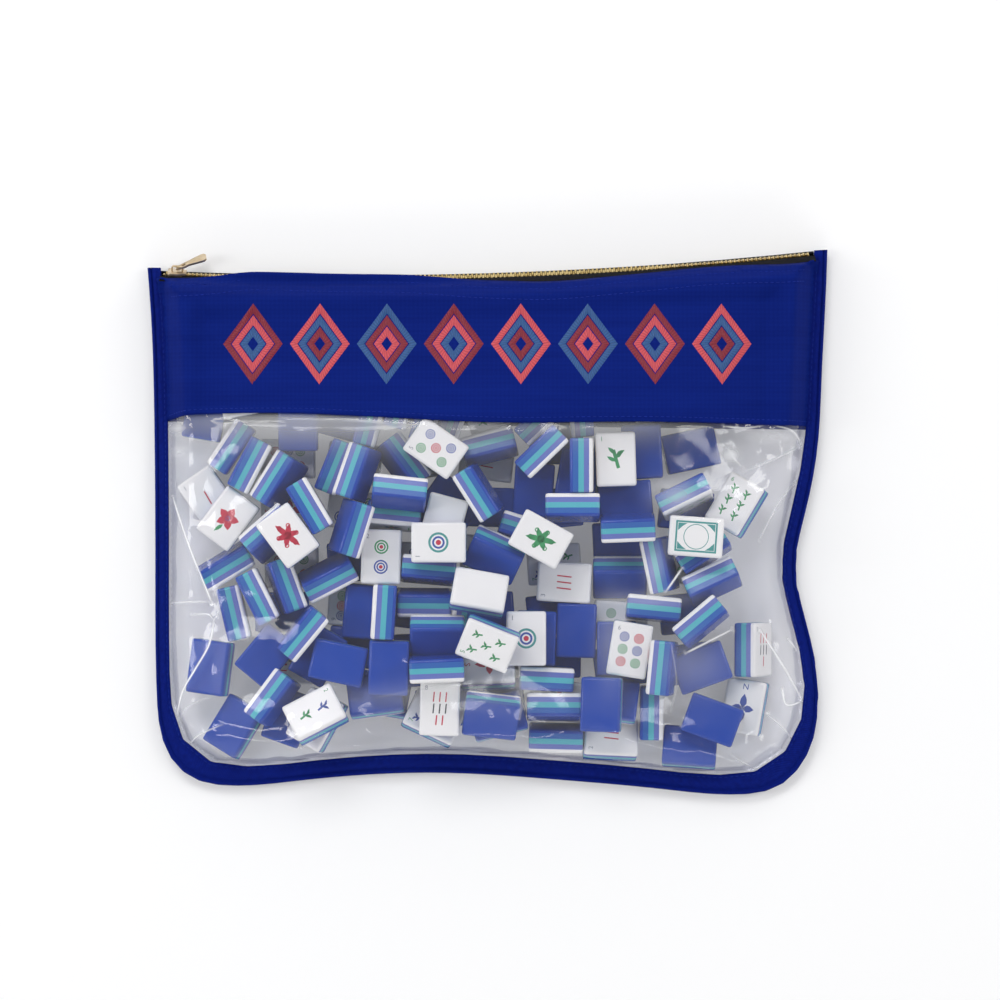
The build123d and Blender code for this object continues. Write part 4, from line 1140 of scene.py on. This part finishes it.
spotsFor = {
    1: [(0, 0)], 2: [(0, 6), (0, -6)], 3: [(-5, 8), (0, 0), (5, -8)],
    4: [(-4.6, 6), (4.6, 6), (-4.6, -6), (4.6, -6)],
    5: [(-5, 7.5), (5, 7.5), (0, 0), (-5, -7.5), (5, -7.5)],
    6: [(-4.4, 7.5), (4.4, 7.5), (-4.4, 0), (4.4, 0), (-4.4, -7.5), (4.4, -7.5)],
    7: [(-5.6, 9), (0, 6.6), (5.6, 4.2), (-4.4, -2.6), (4.4, -2.6), (-4.4, -9), (4.4, -9)],
    8: [(-4.4, 9), (4.4, 9), (-4.4, 3), (4.4, 3), (-4.4, -3), (4.4, -3), (-4.4, -9), (4.4, -9)],
    9: [(-6, 8), (0, 8), (6, 8), (-6, 0), (0, 0), (6, 0), (-6, -8), (0, -8), (6, -8)],
}


def drawPrint(design):
    made = Print()
    suit, _, rank = design.partition("_")
    corner = np.array([-7.6, 11.2])
    if suit == "dot":
        rank = int(rank)
        colours = ["blue", "red", "green"]
        for i, spot in enumerate(spotsFor[rank]):
            spot = np.array(spot, float) * 0.92
            tone = "teal" if rank == 1 else colours[(i + rank) % 3]
            big = {1: 5.6, 2: 3.9, 3: 3.2}.get(rank, 2.7)
            made.ring(spot, big, big * 0.78, tone)
            made.ring(spot, big * 0.62, big * 0.42, "blue" if rank == 1 else tone)
            made.ring(spot, big * 0.26, 0, "red" if rank in (1, 2) else tone)
        made.glyph(str(rank), corner, printing["index"], "grey")
    elif suit == "bamboo":
        rank = int(rank)
        for i, spot in enumerate(spotsFor[rank]):
            spot = np.array(spot, float) * 0.9
            size = 1.7 if rank == 1 else 1.0 if rank < 5 else 0.8
            tone = "blue" if rank in (2, 7) and i == 0 else "green"
            made.bar(spot, 1.1 * size, 6.2 * size, 14, tone)
            for turn, up in ((60, -0.8), (-42, 0.2), (48, 1.6), (-60, 1.2)):
                made.leaf(spot + np.array([0, up * size]), 1.5 * size, 3.4 * size, turn, tone)
        made.glyph(str(rank), corner, printing["index"], "green")
    elif suit == "character":
        rank = int(rank)
        rowsOf = [min(3, rank - 3 * r) for r in range((rank + 2) // 3)]
        for r, count in enumerate(rowsOf):
            for i in range(count):
                place = ((i - (count - 1) / 2) * 3.4, ((len(rowsOf) - 1) / 2 - r) * 6.4)
                made.bar(place, 0.75, 5.4 if len(rowsOf) > 1 else 8.0, -4, "red" if r % 2 == 0 else "black")
        made.glyph(str(rank), corner, printing["index"], "grey")
    elif suit == "wind":
        tone = {"east": "green", "south": "red", "west": "blue", "north": "blue"}[rank]
        for i in range(4):
            made.leaf((0, -1), 4.6, 8.2 if i % 2 == 0 else 6.4, 90 * i, tone)
        made.ring(np.array([0, -1.0]), 1.6, 1.0, "grey")
        made.glyph(rank[0].upper(), np.array([0, 11.0]), 4.6, tone)
    elif design in ("dragon_red", "dragon_green"):
        tone = rank
        for i in range(6):
            made.leaf((0, 0), 3.8, 8.8 if i % 3 == 0 else 6.4, 60 * i + 15, tone)
            a = math.radians(60 * i + 45)
            made.ring(np.array([5.0 * math.cos(a), 6.0 * math.sin(a)]), 1.3, 0.7, tone)
        made.ring(np.array([0.0, 0.0]), 2.2, 0, tone)
    elif design == "dragon_white":
        for u, v, wide, high in ((0, 11.0, 17, 1.0), (0, -11.0, 17, 1.0), (8.0, 0, 1.0, 21), (-8.0, 0, 1.0, 21)):
            made.bar((u, v), wide, high, 0, "teal")
        for u in (-1, 1):
            for v in (-1, 1):
                made.polygon([(7.2 * u, 10.2 * v), (7.2 * u, 5.2 * v), (5.6 * u, 7.6 * v), (3.0 * u, 10.2 * v)],
                             "teal")
        made.ring(np.array([0.0, 0.0]), 7.0, 6.6, "teal")
    elif suit == "flower":
        for i in range(5):
            made.leaf((0, 0), 5.2, 6.6, 72 * i, "red")
        made.ring(np.array([0.0, 0.0]), 1.4, 0.8, "blue")
        made.leaf((0, -4), 2.4, 6.5, 160, "green")
    elif suit == "season":
        for i in range(8):
            made.leaf((0, 1), 2.6, 6.6, 45 * i, "blue" if i % 2 else "teal")
        made.ring(np.array([0.0, 1.0]), 1.5, 0, "red")
        made.bar((0, -8.6), 8, 0.7, 0, "green")
    return made


tile = {"size": (30.0, 22.0, 13.0), "edge": 1.5}


def makeBlank():
    shape = bmesh.new()
    bmesh.ops.create_cube(shape, size=1.0)
    bmesh.ops.scale(shape, vec=Vector(tile["size"]) * mm, verts=shape.verts)
    bmesh.ops.bevel(shape, geom=list(shape.edges), offset=tile["edge"] * mm, segments=2, profile=0.6, affect="EDGES")
    for face in shape.faces:
        face.smooth = face.calc_area() < 150 * mm * mm
    mesh = bpy.data.meshes.new("tileBlank")
    shape.to_mesh(mesh)
    shape.free()
    setAttribute(mesh, "tileSpace", "FLOAT_VECTOR", np.array([v.co for v in mesh.vertices]) / mm)
    blank = bpy.data.objects.new("tileBlank", mesh)
    scene.collection.objects.link(blank)
    return blank


def makeTileTree():
    tree, inputs, output = newTree("tilePile", {"Blank": "Object", "Print": "Object",
                                                "Acrylic": "Material", "Ink": "Material"})
    turn = addNode(tree, "GeometryNodeInputNamedAttribute", {"Name": "turn"}, data_type="QUATERNION")
    both = addNode(tree, "GeometryNodeJoinGeometry")
    for what, finish in (("Print", "Ink"), ("Blank", "Acrylic")):
        shape = addNode(tree, "GeometryNodeObjectInfo", {"Object": inputs.outputs[what]})
        spots = addNode(tree, "GeometryNodeInstanceOnPoints", {
            "Points": inputs.outputs["Geometry"], "Instance": shape.outputs["Geometry"],
            "Rotation": turn.outputs["Attribute"]})
        tree.links.new(finishedCopies(tree, spots, inputs.outputs[finish]), both.inputs[0])
    tree.links.new(both.outputs[0], output.inputs[0])
    return tree


def tileFrame(part):
    corners = part.reshape(-1, 3)
    normals = np.cross(part[:, 1] - part[:, 0], part[:, 2] - part[:, 0])
    areas = np.linalg.norm(normals, axis=1) / 2
    normals = normals / (2 * areas[:, None])
    keys = {}
    for normal, area in zip(normals.round(2), areas):
        keys[tuple(normal)] = keys.get(tuple(normal), 0) + area
    ordered = sorted(keys, key=lambda key: -keys[key])
    face = normals[(normals @ np.array(ordered[0])) > 0.99].mean(axis=0)
    face /= np.linalg.norm(face)
    # of the four side faces the two long ones come first; the short ones point along the tile
    sides = [np.array(key) for key in ordered if abs(np.dot(key, face)) < 0.1 and keys[key] > 150]
    width = sides[0] / np.linalg.norm(sides[0])
    width = width - face * (width @ face)
    width /= np.linalg.norm(width)
    length = np.cross(width, face)
    axes = np.array([length, width, face])
    reach = corners @ axes.T
    centre = ((reach.min(axis=0) + reach.max(axis=0)) / 2) @ axes
    if axes[0] @ np.array([-0.35, 1.0, 0.1]) < 0:
        axes[:2] *= -1
    return centre, axes


blank = makeBlank()
tileTree = makeTileTree()
tileCount = 0
for node in tileNodes:
    design = node.removesuffix("_tiles")
    spots, turns = [], []
    for part in looseParts(node):
        centre, axes = tileFrame(part)
        spots.append(centre)
        turns.append(list(Matrix(axes.tolist()).transposed().to_quaternion()))
    marks = drawPrint(design)
    flat = [(v, -u, tile["size"][2] / 2 + printing["above"]) for u, v in marks.points]
    stamp = makeObject("print", flat, marks.faces, smooth=False)
    setAttribute(stamp.data, "ink", "FLOAT_COLOR", marks.colours, "FACE")
    name = design.split("_")[0] + "".join(word.capitalize() for word in design.split("_")[1:]) + "Tiles"
    carrier = makeObject(name + "Spots", spots, [])
    setAttribute(carrier.data, "turn", "QUATERNION", turns)
    piece = growPiece(carrier, tileTree, {
        "Blank": blank, "Print": stamp, "Acrylic": tileAcrylic, "Ink": tileInk}, name)
    bpy.data.objects.remove(stamp)
    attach(piece, "bag")
    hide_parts(node)
    tileCount += len(spots)
bpy.data.objects.remove(blank)
print("tiles laid:", tileCount)

# Stage, light and camera
# the ceiling is dim, as in a light tent; the floor reaches four metres each way
studio = {"floor": "#e9e9ea", "reach": 4000, "lift": 0.2, "skyEdge": 0.9, "skyTop": 0.12}
floorCorners = [(x * studio["reach"], y * studio["reach"], -0.02) for x, y in ((-1, -1), (1, -1), (1, 1), (-1, 1))]
floor = makeObject("floor", floorCorners, [(0, 1, 2, 3)])
material, tree = newMaterial("paleSweep")
rays = addNode(tree, "ShaderNodeLightPath")
seen = mathNode(tree, "MAXIMUM", rays.outputs["Is Camera Ray"], rays.outputs["Is Glossy Ray"])
seen = mathNode(tree, "MAXIMUM", seen, rays.outputs["Is Transmission Ray"])
glow = mathNode(tree, "MULTIPLY", seen, studio["lift"])
lit = addNode(tree, "ShaderNodeBsdfPrincipled", {"Base Color": linear(studio["floor"]), "Roughness": 0.9,
                                                 "Specular IOR Level": 0.1, "Emission Color": (1, 1, 1, 1)})
tree.links.new(glow, lit.inputs["Emission Strength"])
finishMaterial(tree, lit.outputs[0])
floor.data.materials.append(material)

world = bpy.data.worlds.new("studioSky")
world.use_nodes = True
heading = addNode(world.node_tree, "ShaderNodeTexCoord").outputs["Generated"]
upward = addNode(world.node_tree, "ShaderNodeSeparateXYZ", {0: heading}).outputs[2]
steep = mathNode(world.node_tree, "MULTIPLY", upward, upward)
glow = addNode(world.node_tree, "ShaderNodeMapRange", {
    "Value": steep, "To Min": studio["skyEdge"], "To Max": studio["skyTop"]})
sky = world.node_tree.nodes["Background"]
sky.inputs["Color"].default_value = (1, 1, 1, 1)
world.node_tree.links.new(glow.outputs[0], sky.inputs["Strength"])
scene.world = world

softboxes = [
    # name, place, width, height and watts
    {"name": "keyBox", "place": (-0.5, 1.5, 2.0), "size": (1.3, 0.7), "watts": 20},
    {"name": "leftBox", "place": (-1.7, 0.1, 1.5), "size": (0.35, 1.2), "watts": 10},
    {"name": "rightBox", "place": (1.6, 0.6, 1.6), "size": (0.35, 1.1), "watts": 8},
    {"name": "lowBox", "place": (0.5, -1.9, 1.3), "size": (1.0, 0.3), "watts": 5},
]
for box in softboxes:
    lamp = bpy.data.lights.new(box["name"], "AREA")
    lamp.shape = "RECTANGLE"
    lamp.size, lamp.size_y = box["size"]
    lamp.energy = box["watts"]
    holder = bpy.data.objects.new(box["name"], lamp)
    holder.location = box["place"]
    holder.rotation_euler = (Vector((0, 0, 0.03)) - holder.location).to_track_quat("-Z", "Y").to_euler()
    scene.collection.objects.link(holder)

# The camera looks straight down from three metres; one pixel of the picture is 0.56 mm of the bag
view = {"high": 3.0, "across": 557.0, "middle": (7.0, 12.3), "at": 10.0}
camera = bpy.data.cameras.new("camera")
camera.sensor_width = 36
camera.lens = 36 * (view["high"] - view["at"] * mm) / (view["across"] * mm)
camera.clip_end = 30
cameraObject = bpy.data.objects.new("camera", camera)
cameraObject.location = (view["middle"][0] * mm, view["middle"][1] * mm, view["high"])
scene.collection.objects.link(cameraObject)
scene.camera = cameraObject
scene.view_settings.view_transform = "Standard"

print("scene ready")
